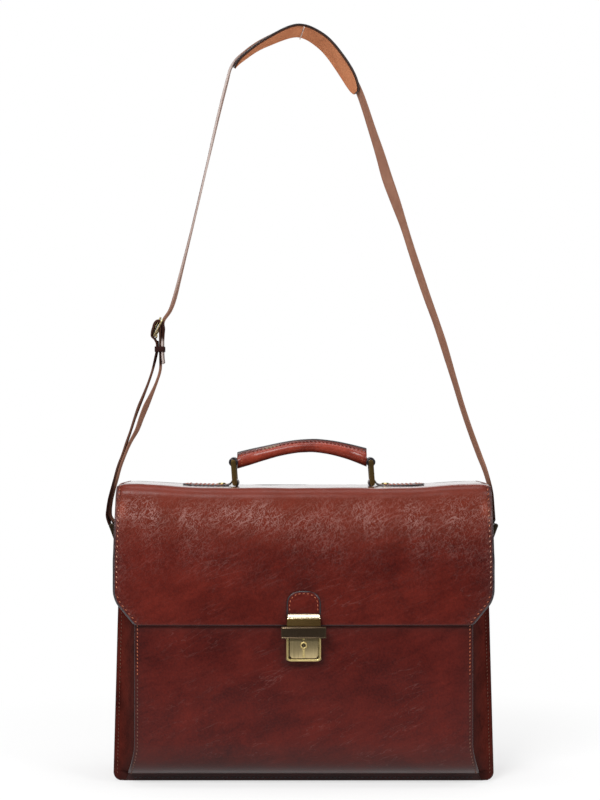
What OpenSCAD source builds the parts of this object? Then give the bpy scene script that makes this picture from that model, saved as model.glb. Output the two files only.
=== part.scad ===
// Flap briefcase in thick leather, with a carrying handle, a front lock and a shoulder strap.
// Front faces -Y, +X is to the right, +Z is up. The case stands on Z = 0.

/* [Case] */
// Width of the case at mid-height, over its sewn edges
case_w = 402; // [380:1:420]
// Height of the case, from its base to the top of the flap
case_h = 317.5; // [300:0.5:330]
// Depth of the case, from the front panel to the back panel
case_d = 124; // [118:1:134]
// How much wider each side is at the base than at the top
flare = 8.6; // [4:0.2:10]
// Depth of the front compartment, from the front panel to its sewn edge
pocket_d = 42; // [40:1:46]
// How far the front panel's top edge lies below the top of the flap
pocket_drop = 33.5; // [27.5:1:57.5]
// How far the divider's top edge lies below the top of the flap
divider_drop = 19.5; // [17.5:0.5:25.5]
// How far the front panel's edges stand in from the edges of the case
bevel_w = 22.4; // [20:0.2:26]
// How far the front panel's edges spread where it turns under
spread = 14; // [10:0.5:15]
// Radius on which the front panel turns under
turn_r = 38; // [34:1:40]
// Width of the sewn edge on the sides
sew_w = 5; // [4:0.5:6]
// Height of the sewn edge under the front panel
sew_h = 9; // [8:0.5:11]
// Radius of the case's bottom corners
corner_r = 9; // [7:0.5:11]
// How deep the side gussets fold in
fold_in = 14; // [10:1:18]
// How far the fixing margin of a bevel strip runs behind the front panel
lap_w = 8; // [6:1:10]

/* [Leather and boards] */
// Thickness of the outer leather
hide_t = 2; // [1.8:0.1:2.2]
// Thickness of the gusset leather
gusset_t = 1.8; // [1.4:0.1:1.8]
// Thickness of the stiffening boards
board_t = 1; // [0.8:0.1:1]
// Thickness of the lining
lining_t = 0.6; // [0.4:0.1:0.7]
// Thickness of the board in the base
base_board_t = 2.4; // [2:0.2:3]

/* [Flap] */
// Height that the flap hangs down over the front
flap_drop = 143.8; // [138:0.2:148]
// Radius of the flap's front top edge
flap_r = 13; // [10:0.5:15]
// Height of each cut corner of the flap
cut_h = 36; // [30:1:42]
// Width of each cut corner of the flap
cut_w = 22.5; // [18:0.5:26]
// Radius of the rolled hinge at the rear top edge
bead_r = 3.6; // [3.6:0.1:4.2]
// How far the flap's top edges stand in from its sides
flap_in = 3.5; // [2:0.5:5]

/* [Lock] */
// Width of the lock's case
lock_w = 37.6; // [36:0.2:40]
// Height of the lock's case
lock_h = 36.2; // [36:0.2:38]
// How far the lock's case stands out from the front panel
lock_d = 11; // [11:0.2:12]
// Width of the release bar
bar_w = 47.2; // [44:0.2:50]
// Height of the release bar
bar_h = 12.4; // [11.6:0.2:12.4]
// Thickness of the release bar
bar_t = 3.9; // [3:0.1:4.5]
// How far the release bar slides down
bar_travel = 3; // [2:0.1:3]
// Height of the keyhole's centre above the bottom of the lock
key_z = 17.8; // [16:0.1:18]
// Radius of the key plug
key_r = 1.98; // [1.8:0.02:2.1]
// Width of the hasp plate
hasp_w = 35.8; // [34:0.2:38]
// Height of the hasp plate
hasp_h = 12.4; // [11:0.2:14]
// Thickness of the hasp plate
hasp_d = 6.3; // [5:0.1:7]
// Height of the leather tab behind the hasp plate
tab_h = 36; // [32:1:42]

/* [Handle] */
// Distance between the two rings that carry the handle
ring_pitch = 149.5; // [144:0.5:156]
// Height of a ring, from the centre of one bar to the other
ring_h = 23; // [22:0.5:26]
// Lean of both rings to the left when the handle stands up
ring_lean = 4; // [0:0.5:6]
// Clear width inside a ring
ring_in = 24; // [23:0.5:28]
// Thickness of a ring's side bars
ring_t = 3; // [2.4:0.1:3.4]
// Radius of the round bars of every ring
rod_r = 2.2; // [1.8:0.1:2.3]
// Height of the grip's arch
grip_rise = 17; // [14:0.5:20]
// Radius of the grip's round body
grip_r = 6.2; // [5.6:0.1:6.6]
// Radius of the cord inside the grip
core_r = 3.5; // [3:0.1:4]
// Length of the leather tabs on top of the flap
base_tab_l = 62; // [56:1:68]
// Width of the leather tabs on top of the flap
base_tab_w = 26; // [22:1:30]
// Thickness of the leather tabs on top of the flap
base_tab_t = 1.8; // [1.4:0.1:2.2]
// Radius of the brass rivet heads on the tabs
stud_r = 4.6; // [4:0.1:5.4]

/* [Shoulder strap] */
// Width of the strap
strap_w = 18; // [16:0.5:19]
// Thickness of the strap
strap_t = 3; // [2.6:0.1:3]
// Height of the strap's arch above the top of the flap
strap_rise = 517.5; // [480:2.5:560]
// Width of the shoulder pad
pad_w = 48; // [42:1:54]
// Thickness of each of the pad's two layers
pad_t = 2; // [1.6:0.1:2.4]
// Distance of the strap's lugs from the face of the back panel
lug_back = 12; // [11:0.5:14]
// Height of the rivets on which the lugs turn
lug_z = 222; // [218:1:224]
// Height of the lug's leather loop above its rivet
lug_h = 32; // [30:0.5:34]
// Radius of the rivet shafts on which the lugs turn
pivot_r = 2.5; // [2:0.1:2.8]
// Height of a side ring, from the centre of one bar to the other
side_ring_h = 17.5; // [17:0.5:18]
// Outward lean of the side rings
side_lean = 20; // [16:1:22]

/* [Hidden] */
$fn = 48;

hide_color = [0.42, 0.14, 0.11];
dark_color = [0.27, 0.14, 0.12];
lining_color = [0.36, 0.24, 0.16];
board_color = [0.55, 0.5, 0.42];
brass_color = [0.62, 0.55, 0.36];
bronze_color = [0.27, 0.22, 0.16];
strap_color = [0.56, 0.38, 0.3];

// Clearances
run_fit = 0.07;
touch_gap = 0.1;
free_gap = 0.3;
flap_gap = 1;
pad_gap = 0.5;

// Planes of the case
front_y = -case_d / 2;
back_y = case_d / 2;
seam_y = front_y + pocket_d;
pocket_h = case_h - pocket_drop;
divider_h = case_h - divider_drop;
turn_z = turn_r + sew_h;
turn_y = front_y + turn_r;
pocket_hw = case_w / 2 - bevel_w;
lean = atan(flare / case_h);
gusset_front = seam_y + hide_t;
gusset_back = back_y - hide_t;
gusset_fold_y = gusset_front + 0.36 * (gusset_back - gusset_front);
board_in = sew_w + 4;
base_hw = case_w / 2 + flare / 2 - corner_r;

// Planes of the flap
flap_t = hide_t + board_t + lining_t;
drop_y = front_y - flap_gap - flap_t;
flap_low = case_h - flap_drop;
flap_bend_z = flap_low + cut_h + 32;
hinge_y = back_y - bead_r;
hinge_z = case_h - bead_r;
flap_layer_end = hinge_y - bead_r - free_gap;

// Planes of the lock
tab_t = 1.6;
lock_top = flap_low - 2;
lock_low = lock_top - lock_h;
lock_back_t = 2.2;
lock_wall = 1.5;
lock_front = front_y - lock_d;
cavity_y = lock_front + lock_wall;
cavity_back = front_y - lock_back_t;
cavity_hw = lock_w / 2 - 3.3;
key_axis = lock_low + key_z;
bar_top = flap_low - 0.4;
bar_back = lock_front - free_gap;
stem_z = bar_top - 8.2;
stem_h = 4;
bolt_low = lock_top - 10.2;
bolt_h = 6.2;
spring_x = 9;
spring_r = 2;
spring_low = lock_low + 11;
spring_y = (cavity_y + cavity_back) / 2;
lock_rivet_r = 1.5;
lock_rivet_x = 12;
lock_rivet_z = 6;
inner_plate_t = 1;
front_inside = front_y + hide_t + board_t + lining_t;

// Places of the handle
ring_end_r = 2.7;
ring_z = case_h + ring_end_r + free_gap;
ring_top_dx = -ring_h * sin(ring_lean);
ring_top_z = ring_z + ring_h * cos(ring_lean);
knuckle_r = 5;
grip_hw = ring_pitch / 2 - knuckle_r + 0.3;
grip_arc_r = (pow(grip_hw, 2) + pow(grip_rise, 2)) / (2 * grip_rise);
grip_angle = 2 * asin(grip_hw / grip_arc_r);
grip_top_z = ring_top_z + 1 + grip_rise;
stud_x = ring_pitch / 2 + 14.5;
stud_shaft_r = 1.5;

// Places of the strap's lugs and rings
lug_t = 6;
lug_loop_r = 5.2;
lug_y = back_y - lug_back;
lug_x = case_w / 2 + 7;
lug_inner = lug_x - lug_t / 2;
side_bar_x = lug_x + side_ring_h * sin(side_lean);
side_bar_z = lug_z + lug_h + side_ring_h * cos(side_lean);
side_ring_in = strap_w + 4;
fold_gap = 1;
fold_r = rod_r + fold_gap + strap_t;
gusset_face = case_w / 2 + flare * (0.5 - lug_z / case_h) - sew_w - 1 + gusset_t;

// The plane of the strap's arch, clear of the back panel
arch_y = back_y + strap_w / 2 + 2;

// Height of a share of the arch above the top of the flap
function rise(k) = case_h + k * strap_rise;

// The buckle's middle and its lean
buckle_at = [-164.5, arch_y, rise(0.33913)];
buckle_lean = 25;

// Route of the long strap from the right ring, over the shoulder, to the buckle.
// Each point is x, y, z and the twist of the strap in degrees.
long_route = [
  [side_bar_x, lug_y, side_bar_z + fold_r - 1, 0],
  [side_bar_x - 0.5, lug_y + 4, side_bar_z + 20, 4],
  [211, lug_y + 10, side_bar_z + 38.5, 8],
  [206, arch_y - 6, rise(0.0242), 12],
  [199, arch_y - 2, rise(0.0609), 15],
  [190, arch_y, rise(0.1111), 18],
  [163, arch_y, rise(0.2483), 20],
  [143, arch_y, rise(0.372), 20],
  [114, arch_y, rise(0.5575), 24],
  [94, arch_y, rise(0.6812), 36],
  [80, arch_y, rise(0.7739), 24],
  [64, arch_y, rise(0.8667), 16],
  [49, arch_y, rise(0.9266), 11],
  [24, arch_y, rise(0.9807), 7],
  [-8, arch_y, rise(1), 2],
  [-44, arch_y, rise(0.9807), 0],
  [-68, arch_y, rise(0.944), 0],
  [-81, arch_y, rise(0.9092), 0],
  [-89, arch_y, rise(0.8744), 2],
  [-101, arch_y, rise(0.772), 0],
  [-113, arch_y, rise(0.6676), 0],
  [-126, arch_y, rise(0.5614), 0],
  [-140, arch_y, rise(0.457), 5],
  [buckle_at[0] + 14.5, arch_y, buckle_at[2] + 29, 3],
  [buckle_at[0] + 8.5, arch_y, buckle_at[2] + 12, 0],
  [buckle_at[0] + 4, arch_y, buckle_at[2] - 6, 0],
  [buckle_at[0] + 4.5, arch_y, buckle_at[2] - 23, 0],
  [buckle_at[0] + 3.5, arch_y, buckle_at[2] - 45, 0]
];
pad_first = 11;
pad_last = 17;
steps = 3;

buckle_h = 21;
buckle_w = 23;
buckle_r = 1.6;
loop_t = 2.2;
buckle_fold_r = buckle_r + touch_gap + loop_t;
lower_bar = [
  buckle_at[0] - buckle_h / 2 * sin(buckle_lean),
  buckle_at[1],
  buckle_at[2] - buckle_h / 2 * cos(buckle_lean)
];

// The two layers of the short strap, from the buckle's lower bar to the left ring
outer_layer = [
  [lower_bar[0] - 2.9, arch_y, lower_bar[2] - 1, 0],
  [buckle_at[0] - 9, arch_y, buckle_at[2] - 35, 3],
  [-179, arch_y, rise(0.2193), 6],
  [-189.5, arch_y, rise(0.1671), 6],
  [-198, arch_y, rise(0.115), 5],
  [-204.5, arch_y - 1.5, rise(0.0705), 3],
  [-211, arch_y - 6, rise(0.03), 2],
  [-216, lug_y + 10.5, side_bar_z + 38.5, 0],
  [-side_bar_x - 4.4, lug_y + 4, side_bar_z + 20, 0],
  [-side_bar_x - 3.9, lug_y, side_bar_z, 0]
];
inner_layer = [
  [lower_bar[0] + 2.3, arch_y, lower_bar[2] - 2.4, 0],
  [buckle_at[0] - 2.7, arch_y, buckle_at[2] - 35, 3],
  [-171, arch_y, rise(0.2193), 8],
  [-182, arch_y, rise(0.1671), 10],
  [-193, arch_y, rise(0.115), 7],
  [-201, arch_y - 1.5, rise(0.0705), 3],
  [-208, arch_y - 6, rise(0.03), 0],
  [-212.4, lug_y + 10.5, side_bar_z + 38.5, 0],
  [-side_bar_x + 0.9, lug_y + 4, side_bar_z + 20, 0],
  [-side_bar_x + 4.9, lug_y, side_bar_z, 0]
];

// Half of the case's width at a height
function half_w(z) = case_w / 2 + flare * (0.5 - z / case_h);

// Half of the front panel's width at a height
function pocket_edge(z) =
  pocket_hw + (z < turn_z ? spread * pow(1 - z / turn_z, 1.6) : 0);

// Points on an arc
function arc(c, r, a0, a1, n) =
  [for (i = [0:n]) let (a = a0 + (a1 - a0) * i / n) [c[0] + r * cos(a), c[1] + r * sin(a)]];

// An outline from its right half, which runs down from the top
function both_sides(p) = concat(p, [for (i = [len(p) - 1:-1:0]) [-p[i][0], p[i][1]]]);

function unit(v) = v / norm(v);
function left_of(v) = [-v[1], v[0]];

// A point of a path moved to its left by t, with mitred corners
function mitre(p, i, t) =
  let (
    a = unit(p[max(i, 1)] - p[max(i, 1) - 1]),
    b = unit(p[min(i, len(p) - 2) + 1] - p[min(i, len(p) - 2)]),
    n = unit(left_of(a) + left_of(b))
  ) p[i] + n * t / (n * left_of(a));

// The outline of a strip of thickness t along a path
function strip(p, t) = concat(p, [for (i = [len(p) - 1:-1:0]) mitre(p, i, t)]);

// Smooth curve through a list of points, n steps to each span
function spline_at(p0, p1, p2, p3, t) =
  0.5 * (2 * p1 + (p2 - p0) * t + (2 * p0 - 5 * p1 + 4 * p2 - p3) * t * t
  + (3 * p1 - p0 - 3 * p2 + p3) * t * t * t);
function smooth(p, n) = concat(
  [for (i = [0:len(p) - 2], k = [0:n - 1])
    spline_at(p[max(i - 1, 0)], p[i], p[i + 1], p[min(i + 2, len(p) - 1)], k / n)],
  [p[len(p) - 1]]
);
function xyz(p) = [p[0], p[1], p[2]];

// One row across a band: its middle moved out by lift, and its two edges
function band_row(p, i, w, lift) =
  let (
    t = unit(xyz(p[min(i + 1, len(p) - 1)]) - xyz(p[max(i - 1, 0)])),
    across = unit([0, 1, 0] - t[1] * t),
    side = cross(t, across),
    turned = across * cos(p[i][3]) + side * sin(p[i][3]),
    out = cross(turned, t)
  ) [xyz(p[i]) + out * lift - turned * w / 2, xyz(p[i]) + out * lift + turned * w / 2];

// Extrude an outline of x and z from y to y + t
module sheet_xz(y, t) {
  translate([0, y + t, 0]) rotate([90, 0, 0]) linear_extrude(t) children();
}

// Extrude a side profile of y and z from x0 to x1
module extrude_x(x0, x1) {
  translate([x0, 0, 0]) rotate([90, 0, 90]) linear_extrude(x1 - x0) children();
}

// A cylinder along Y through x and z, from y0 to y1
module rod_y(x, z, y0, y1, r) {
  translate([x, y1, z]) rotate([90, 0, 0]) cylinder(h = y1 - y0, r = r);
}

// A cylinder along X through y and z, from x0 to x1
module rod_x(y, z, x0, x1, r) {
  translate([x0, y, z]) rotate([0, 90, 0]) cylinder(h = x1 - x0, r = r);
}

function quad(p, q, r, s) = [[p, q, r], [p, r, s]];

// A closed sheet between two grids of points; the outside of grid a lies against rows x columns
module shell(a, b) {
  m = len(a);
  n = len(a[0]);
  k = m * n;
  polyhedron(
    concat([for (r = a) each r], [for (r = b) each r]),
    concat(
      [for (i = [0:m - 2], j = [0:n - 2])
        each quad(i * n + j, (i + 1) * n + j, (i + 1) * n + j + 1, i * n + j + 1)],
      [for (i = [0:m - 2], j = [0:n - 2])
        each quad(k + i * n + j, k + i * n + j + 1, k + (i + 1) * n + j + 1, k + (i + 1) * n + j)],
      [for (i = [0:m - 2]) each quad((i + 1) * n, i * n, k + i * n, k + (i + 1) * n)],
      [for (i = [0:m - 2])
        each quad(i * n + n - 1, (i + 1) * n + n - 1, k + (i + 1) * n + n - 1, k + i * n + n - 1)],
      [for (j = [0:n - 2]) each quad(j, j + 1, k + j + 1, k + j)],
      [for (j = [0:n - 2]) each quad(k - n + j + 1, k - n + j, 2 * k - n + j, 2 * k - n + j + 1)]
    )
  );
}

// A band of leather along a route, from row i0 to row i1
module band(p, i0, i1, w, t, lift = 0) {
  shell(
    [for (i = [i0:i1]) band_row(p, i, w, lift + t / 2)],
    [for (i = [i0:i1]) band_row(p, i, w, lift - t / 2)]
  );
}

// The full-width outline of the case's panels, with round bottom corners
module panel_outline(z_top, inset = 0, z_low = 0) {
  hw = half_w(corner_r + z_low) - inset;
  polygon(both_sides(concat(
    [[half_w(z_top) - inset, z_top]],
    arc([hw - corner_r, corner_r + z_low], corner_r, 0, -90, 8)
  )));
}

// The front panel's outline, which spreads where the panel turns under
function pocket_outline() = both_sides(concat(
  [[pocket_hw, pocket_h]],
  [for (i = [0:8]) let (z = turn_z * (1 - i / 8)) [pocket_edge(z), z]]
));

// Side profile of all that lies behind a surface o inside the front panel's face
module pocket_section(o, grow = 0) {
  translate([front_y + o, turn_z]) square([pocket_d - o + grow, pocket_h - turn_z + grow]);
  intersection() {
    translate([turn_y, turn_z]) circle(turn_r - o, $fn = 96);
    translate([front_y, sew_h]) square([turn_r, turn_r]);
  }
  translate([turn_y, sew_h + o]) square([seam_y - turn_y + grow, turn_r - o]);
}

module lock_holes() {
  for (x = [-lock_rivet_x, lock_rivet_x], z = [lock_low + lock_rivet_z, lock_top - lock_rivet_z])
    rod_y(x, z, front_y - 1, front_inside + inner_plate_t + 1, lock_rivet_r + run_fit);
}

module front_panel() {
  color(hide_color) difference() {
    intersection() {
      extrude_x(-case_w / 2, case_w / 2) {
        difference() {
          pocket_section(0);
          pocket_section(hide_t, 1);
        }
        translate([seam_y - hide_t, 0]) square([hide_t, sew_h + hide_t / 2]);
      }
      sheet_xz(front_y - 1, pocket_d + 1) polygon(pocket_outline());
    }
    lock_holes();
  }
}

// A flat layer behind the front panel, at a distance o from its face
module front_layer(o, t) {
  z0 = turn_z + 2;
  hw = pocket_hw - lap_w - free_gap;
  difference() {
    translate([-hw, front_y + o, z0]) cube([2 * hw, t, pocket_h - 4 - z0]);
    lock_holes();
  }
}

module front_board() {
  color(board_color) front_layer(hide_t, board_t);
}

module front_lining() {
  color(lining_color) front_layer(hide_t + board_t, lining_t);
}

// The strip that joins the front panel's right edge to the sewn edge of the case
module bevel() {
  ri = turn_r - hide_t;
  turn = [for (a = [0, 14, 28, 42, 56, 70, 83]) [turn_z - ri * sin(a), turn_y - ri * cos(a)]];
  rows = concat([[pocket_h, front_y + hide_t]], turn);
  shell(
    [for (r = rows) [
      [pocket_edge(r[0]) - lap_w, r[1] + gusset_t, r[0]],
      [pocket_edge(r[0]) - gusset_t / 2, r[1] + gusset_t, r[0]],
      [half_w(r[0]) - sew_w - gusset_t / 2, seam_y, r[0]],
      [half_w(r[0]), seam_y, r[0]]
    ]],
    [for (r = rows) [
      [pocket_edge(r[0]) - lap_w, r[1], r[0]],
      [pocket_edge(r[0]), r[1], r[0]],
      [half_w(r[0]) - sew_w, seam_y - hide_t, r[0]],
      [half_w(r[0]), seam_y - hide_t, r[0]]
    ]]
  );
  sheet_xz(seam_y - hide_t, hide_t) difference() {
    panel_outline(rows[7][0] + 0.2);
    polygon(pocket_outline());
    translate([-case_w, -1]) square([case_w, case_h]);
  }
}

module bevel_right() {
  color(hide_color) bevel();
}

module bevel_left() {
  color(hide_color) mirror([1, 0, 0]) bevel();
}

module divider_panel() {
  color(hide_color) sheet_xz(seam_y, hide_t) panel_outline(divider_h);
}

module divider_board() {
  color(board_color) sheet_xz(gusset_front, board_t) panel_outline(divider_h - 6, board_in, 6);
}

module divider_lining() {
  color(lining_color)
    sheet_xz(gusset_front + board_t, lining_t) panel_outline(divider_h - 4, board_in, 6);
}

// The right side gusset, folded in towards the front and flat where the lug sits
module gusset() {
  path = [
    [0, gusset_front],
    [-sew_w, gusset_front],
    [-sew_w - 1, gusset_front + 6],
    [-fold_in, gusset_fold_y],
    [-sew_w - 1, gusset_back - 24],
    [-sew_w - 1, gusset_back - 3],
    [-sew_w, gusset_back],
    [0, gusset_back]
  ];
  difference() {
    intersection() {
      translate([half_w(0), 0, 0]) rotate([0, -lean, 0])
        linear_extrude(case_h) polygon(strip(path, -gusset_t));
      translate([0, front_y, hide_t]) cube([case_w, case_d, divider_h - hide_t]);
    }
    rod_x(lug_y, lug_z, gusset_face - 3 * gusset_t, gusset_face + gusset_t, pivot_r + run_fit);
  }
}

module gusset_right() {
  color(dark_color) gusset();
}

module gusset_left() {
  color(dark_color) mirror([1, 0, 0]) gusset();
}

module bottom_panel() {
  color(dark_color) translate([-base_hw, gusset_front, 0])
    cube([2 * base_hw, gusset_back - gusset_front, hide_t]);
}

module bottom_board() {
  hw = half_w(0) - fold_in - gusset_t - 2;
  y0 = gusset_front + board_t + lining_t + 1;
  color(board_color) translate([-hw, y0, hide_t])
    cube([2 * hw, gusset_back - board_t - lining_t - 1 - y0, base_board_t]);
}

module back_panel() {
  color(hide_color) sheet_xz(gusset_back, hide_t) panel_outline(hinge_z - bead_r - free_gap);
}

module back_board() {
  color(board_color)
    sheet_xz(gusset_back - board_t, board_t) panel_outline(divider_h - 6, board_in, 6);
}

module back_lining() {
  color(lining_color) sheet_xz(gusset_back - board_t - lining_t, lining_t)
    panel_outline(divider_h - 4, board_in, 6);
}

// The lock's front view outline, with round bottom corners
module lock_outline(hw, z0, z1, r) {
  polygon(both_sides(concat([[hw, z1]], arc([hw - r, z0 + r], r, 0, -90, 6))));
}

module lock_base() {
  color(brass_color)
    sheet_xz(cavity_back, lock_back_t) lock_outline(lock_w / 2, lock_low, lock_top, 3);
}

module lock_case() {
  ledge_w = 2 * spring_r + 1;
  color(brass_color) difference() {
    union() {
      difference() {
        sheet_xz(lock_front, cavity_back - lock_front)
          lock_outline(lock_w / 2, lock_low, lock_top, 3);
        translate([-cavity_hw, cavity_y, lock_low + 3])
          cube([2 * cavity_hw, cavity_back - cavity_y + 1, lock_h - 6.2]);
        translate([-9.5, cavity_y, lock_low + 4]) cube([19, cavity_back - cavity_y + 1, lock_h]);
      }
      for (x = [-spring_x, spring_x])
        translate([x - ledge_w / 2, cavity_y - 0.5, lock_low + 2])
          cube([ledge_w, cavity_back - cavity_y + 0.5, spring_low - lock_low - 2]);
    }
    sheet_xz(lock_front - 1, 1.8)
      lock_outline(lock_w / 2 - 3.8 + touch_gap, lock_low + 4.4, bar_top - bar_h, 2.6);
    rod_y(0, key_axis, lock_front - 1, cavity_y + 1, key_r + run_fit);
    translate([-4, lock_front - 1, stem_z - bar_travel - touch_gap])
      cube([8, lock_wall + 2, stem_h + bar_travel + 2 * touch_gap]);
  }
}

module lock_face() {
  color(brass_color) difference() {
    union() {
      sheet_xz(lock_front + 0.2, 0.6)
        lock_outline(lock_w / 2 - 3.8, lock_low + 4.5, bar_top - bar_h - touch_gap, 2.6);
      rod_y(0, key_axis, lock_front - 1.5, lock_front + 0.5, key_r + 1.6);
    }
    rod_y(0, key_axis, lock_front - 2, lock_front + 2, key_r + run_fit);
  }
}

// The key plug, with its keyhole slot in front and its cam inside the lock
module key_plug() {
  color(bronze_color) difference() {
    union() {
      rod_y(0, key_axis, lock_front - 1.1, cavity_back - 1, key_r);
      translate([-1.4, cavity_back - 2.6, key_axis - 5.2]) cube([2.8, 1.6, 5.2]);
    }
    translate([-0.45, lock_front - 2, key_axis - 1.4]) cube([0.9, 3.4, 2.8]);
  }
}

module release_bar() {
  y = [bar_back, bar_back - bar_t];
  color(bronze_color) {
    extrude_x(-bar_w / 2, bar_w / 2) polygon([
      [y[0], bar_top - bar_h],
      [y[1] + 0.8, bar_top - bar_h],
      [y[1], bar_top - bar_h + 0.8],
      [y[1], bar_top - 1.4],
      [y[1] + 1.4, bar_top],
      [y[0], bar_top]
    ]);
    translate([-3.9, bar_back - 0.5, stem_z]) cube([7.8, cavity_y + 2.1 - bar_back + 0.5, stem_h]);
  }
}

module latch_bolt() {
  y0 = cavity_y + 2.1;
  color(brass_color) translate([-13, y0, bolt_low]) cube([26, cavity_back - 0.4 - y0, bolt_h]);
}

module bar_springs() {
  color(brass_color) for (x = [-spring_x, spring_x])
    translate([x, spring_y, spring_low]) difference() {
      cylinder(h = bolt_low - spring_low, r = spring_r);
      translate([0, 0, -1]) cylinder(h = bolt_low - spring_low + 2, r = spring_r - 0.7);
    }
}

module lock_inner_plate() {
  color(brass_color) difference() {
    sheet_xz(front_inside, inner_plate_t)
      lock_outline(lock_w / 2 - 2, lock_low + 1, lock_top - 1, 2);
    lock_holes();
  }
}

module lock_rivets() {
  color(brass_color)
    for (x = [-lock_rivet_x, lock_rivet_x], z = [lock_low + lock_rivet_z, lock_top - lock_rivet_z]) {
      rod_y(x, z, front_y, front_inside + inner_plate_t, lock_rivet_r);
      rod_y(x, z, front_inside + inner_plate_t, front_inside + inner_plate_t + 0.8, 2.6);
    }
}

// Side profile of all that lies behind a surface o inside the flap's face
module flap_section(o, grow = 0) {
  x0 = drop_y + flap_r;
  translate([drop_y + o, flap_low - grow])
    square([hinge_y - drop_y - o + grow, flap_drop - flap_r + grow]);
  translate([x0, flap_low]) square([hinge_y - x0 + grow, flap_drop - o]);
  translate([x0, case_h - flap_r]) circle(flap_r - o, $fn = 96);
}

// Front view of the flap, moved in by d, with cut lower corners
function flap_outline(d) = let (
  hw = case_w / 2,
  z1 = flap_low + cut_h
) both_sides([
  [hw - flap_in - d, case_h + 1],
  [hw - d, flap_bend_z],
  [hw - d, z1],
  [hw - 1.5 - d, z1 - 8],
  [hw - 4.8 - d, z1 - 15],
  [hw - cut_w + 1.4 - d, flap_low + 1.2 + d],
  [hw - cut_w - 1.2 - d, flap_low + d]
]);

// One layer of the flap, at a depth o, of thickness t, and moved in from its edges by d
module flap_layer(o, t, d, y_end) {
  intersection() {
    extrude_x(-case_w / 2, case_w / 2) difference() {
      flap_section(o);
      flap_section(o + t, 1);
      translate([y_end, 0]) square([case_d, case_h + 1]);
    }
    sheet_xz(drop_y - 1, case_d + 10) polygon(flap_outline(d));
  }
}

// Holes through the flap for the rivets of the handle's tabs and of the hasp
module flap_holes() {
  for (x = [-stud_x, stud_x])
    translate([x, 0, case_h - 10]) cylinder(h = 20, r = stud_shaft_r + run_fit);
  for (x = [-hasp_w / 3, hasp_w / 3])
    rod_y(x, flap_low + hasp_h / 2, drop_y - 5, front_y, 1.2 + run_fit);
}

module flap_leather() {
  color(hide_color) difference() {
    union() {
      flap_layer(0, hide_t, 0, hinge_y);
      rod_x(hinge_y, hinge_z, -case_w / 2 + flap_in, case_w / 2 - flap_in, bead_r);
    }
    flap_holes();
  }
}

module flap_board() {
  color(board_color) difference() {
    flap_layer(hide_t, board_t, 6, flap_layer_end);
    flap_holes();
  }
}

module flap_lining() {
  color(lining_color) difference() {
    flap_layer(hide_t + board_t, lining_t, 3, flap_layer_end);
    flap_holes();
  }
}

// The leather tab that carries the hasp plate, round at its top
module hasp_tab() {
  r = lock_w / 2 - 1.4;
  color(hide_color) difference() {
    sheet_xz(drop_y - tab_t, tab_t) {
      translate([-r, flap_low]) square([2 * r, tab_h - r]);
      translate([0, flap_low + tab_h - r]) circle(r);
    }
    flap_holes();
  }
}

// The plate on the flap, with a bevelled face, a foot under the flap and the tongue
module hasp_plate() {
  y0 = drop_y - tab_t;
  y1 = y0 - hasp_d;
  z0 = flap_low - 0.2;
  z1 = flap_low + hasp_h;
  tongue_y = drop_y + 0.2;
  color(brass_color) {
    extrude_x(-hasp_w / 2, hasp_w / 2) polygon([
      [y0, z0],
      [y1 + 0.8, z0],
      [y1, z0 + 0.8],
      [y1, z1 - 3.4],
      [y1 + 3.8, z1],
      [y0, z1]
    ]);
    translate([-12, y0 - 2.8, flap_low - 1.5]) cube([24, tongue_y + 1.8 - y0 + 2.8, 1.4]);
    translate([-8, tongue_y, flap_low - 5.2]) cube([16, 1.8, 4]);
  }
}

module hasp_rivets() {
  y0 = drop_y - tab_t;
  y1 = drop_y + flap_t;
  color(brass_color) for (x = [-hasp_w / 3, hasp_w / 3]) {
    rod_y(x, flap_low + hasp_h / 2, y0, y1, 1.2);
    rod_y(x, flap_low + hasp_h / 2, y1, y1 + 0.5, 3);
  }
}

// The right tab on top of the flap, with the loop that holds the ring's lower bar
module handle_tab() {
  x0 = ring_pitch / 2 - 3.6;
  end_r = base_tab_w / 2;
  loop_r = rod_r + 2.4;
  color(hide_color) difference() {
    union() {
      translate([x0, -ring_in / 2 + 1.5, case_h]) cube([8, ring_in - 3, base_tab_t]);
      translate([x0 + 7, -end_r, case_h]) cube([base_tab_l - end_r - 7, base_tab_w, base_tab_t]);
      translate([x0 + base_tab_l - end_r, 0, case_h]) cylinder(h = base_tab_t, r = end_r);
      intersection() {
        rod_y(ring_pitch / 2, ring_z, -ring_in / 2 + 1.5, ring_in / 2 - 1.5, loop_r);
        translate([0, -ring_in, case_h]) cube([ring_pitch, 2 * ring_in, 20]);
      }
    }
    rod_y(ring_pitch / 2, ring_z, -ring_in, ring_in, rod_r + run_fit);
    translate([stud_x, 0, case_h - 1]) cylinder(h = 10, r = stud_shaft_r + run_fit);
  }
}

module handle_tab_right() {
  handle_tab();
}

module handle_tab_left() {
  mirror([1, 0, 0]) handle_tab();
}

module tab_studs() {
  color(brass_color) for (x = [-stud_x, stud_x]) {
    translate([x, 0, case_h - flap_t]) cylinder(h = flap_t + base_tab_t, r = stud_shaft_r);
    translate([x, 0, case_h + base_tab_t]) cylinder(h = 1.3, r1 = stud_r, r2 = stud_r - 1);
    translate([x, 0, case_h - flap_t - 0.8]) cylinder(h = 0.8, r = 3);
  }
}

// A ring of two round bars along Y and two flat side bars, leaning by a degrees
module ring(h, inner, a, end_r, t) {
  rotate([0, a, 0]) {
    for (z = [0, h]) rod_y(0, z, -inner / 2 - t / 2, inner / 2 + t / 2, rod_r);
    for (y = [-inner / 2 - t, inner / 2]) sheet_xz(y, t) {
      translate([-end_r, 0]) square([2 * end_r, h]);
      circle(end_r);
      translate([0, h]) circle(end_r);
    }
  }
}

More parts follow.
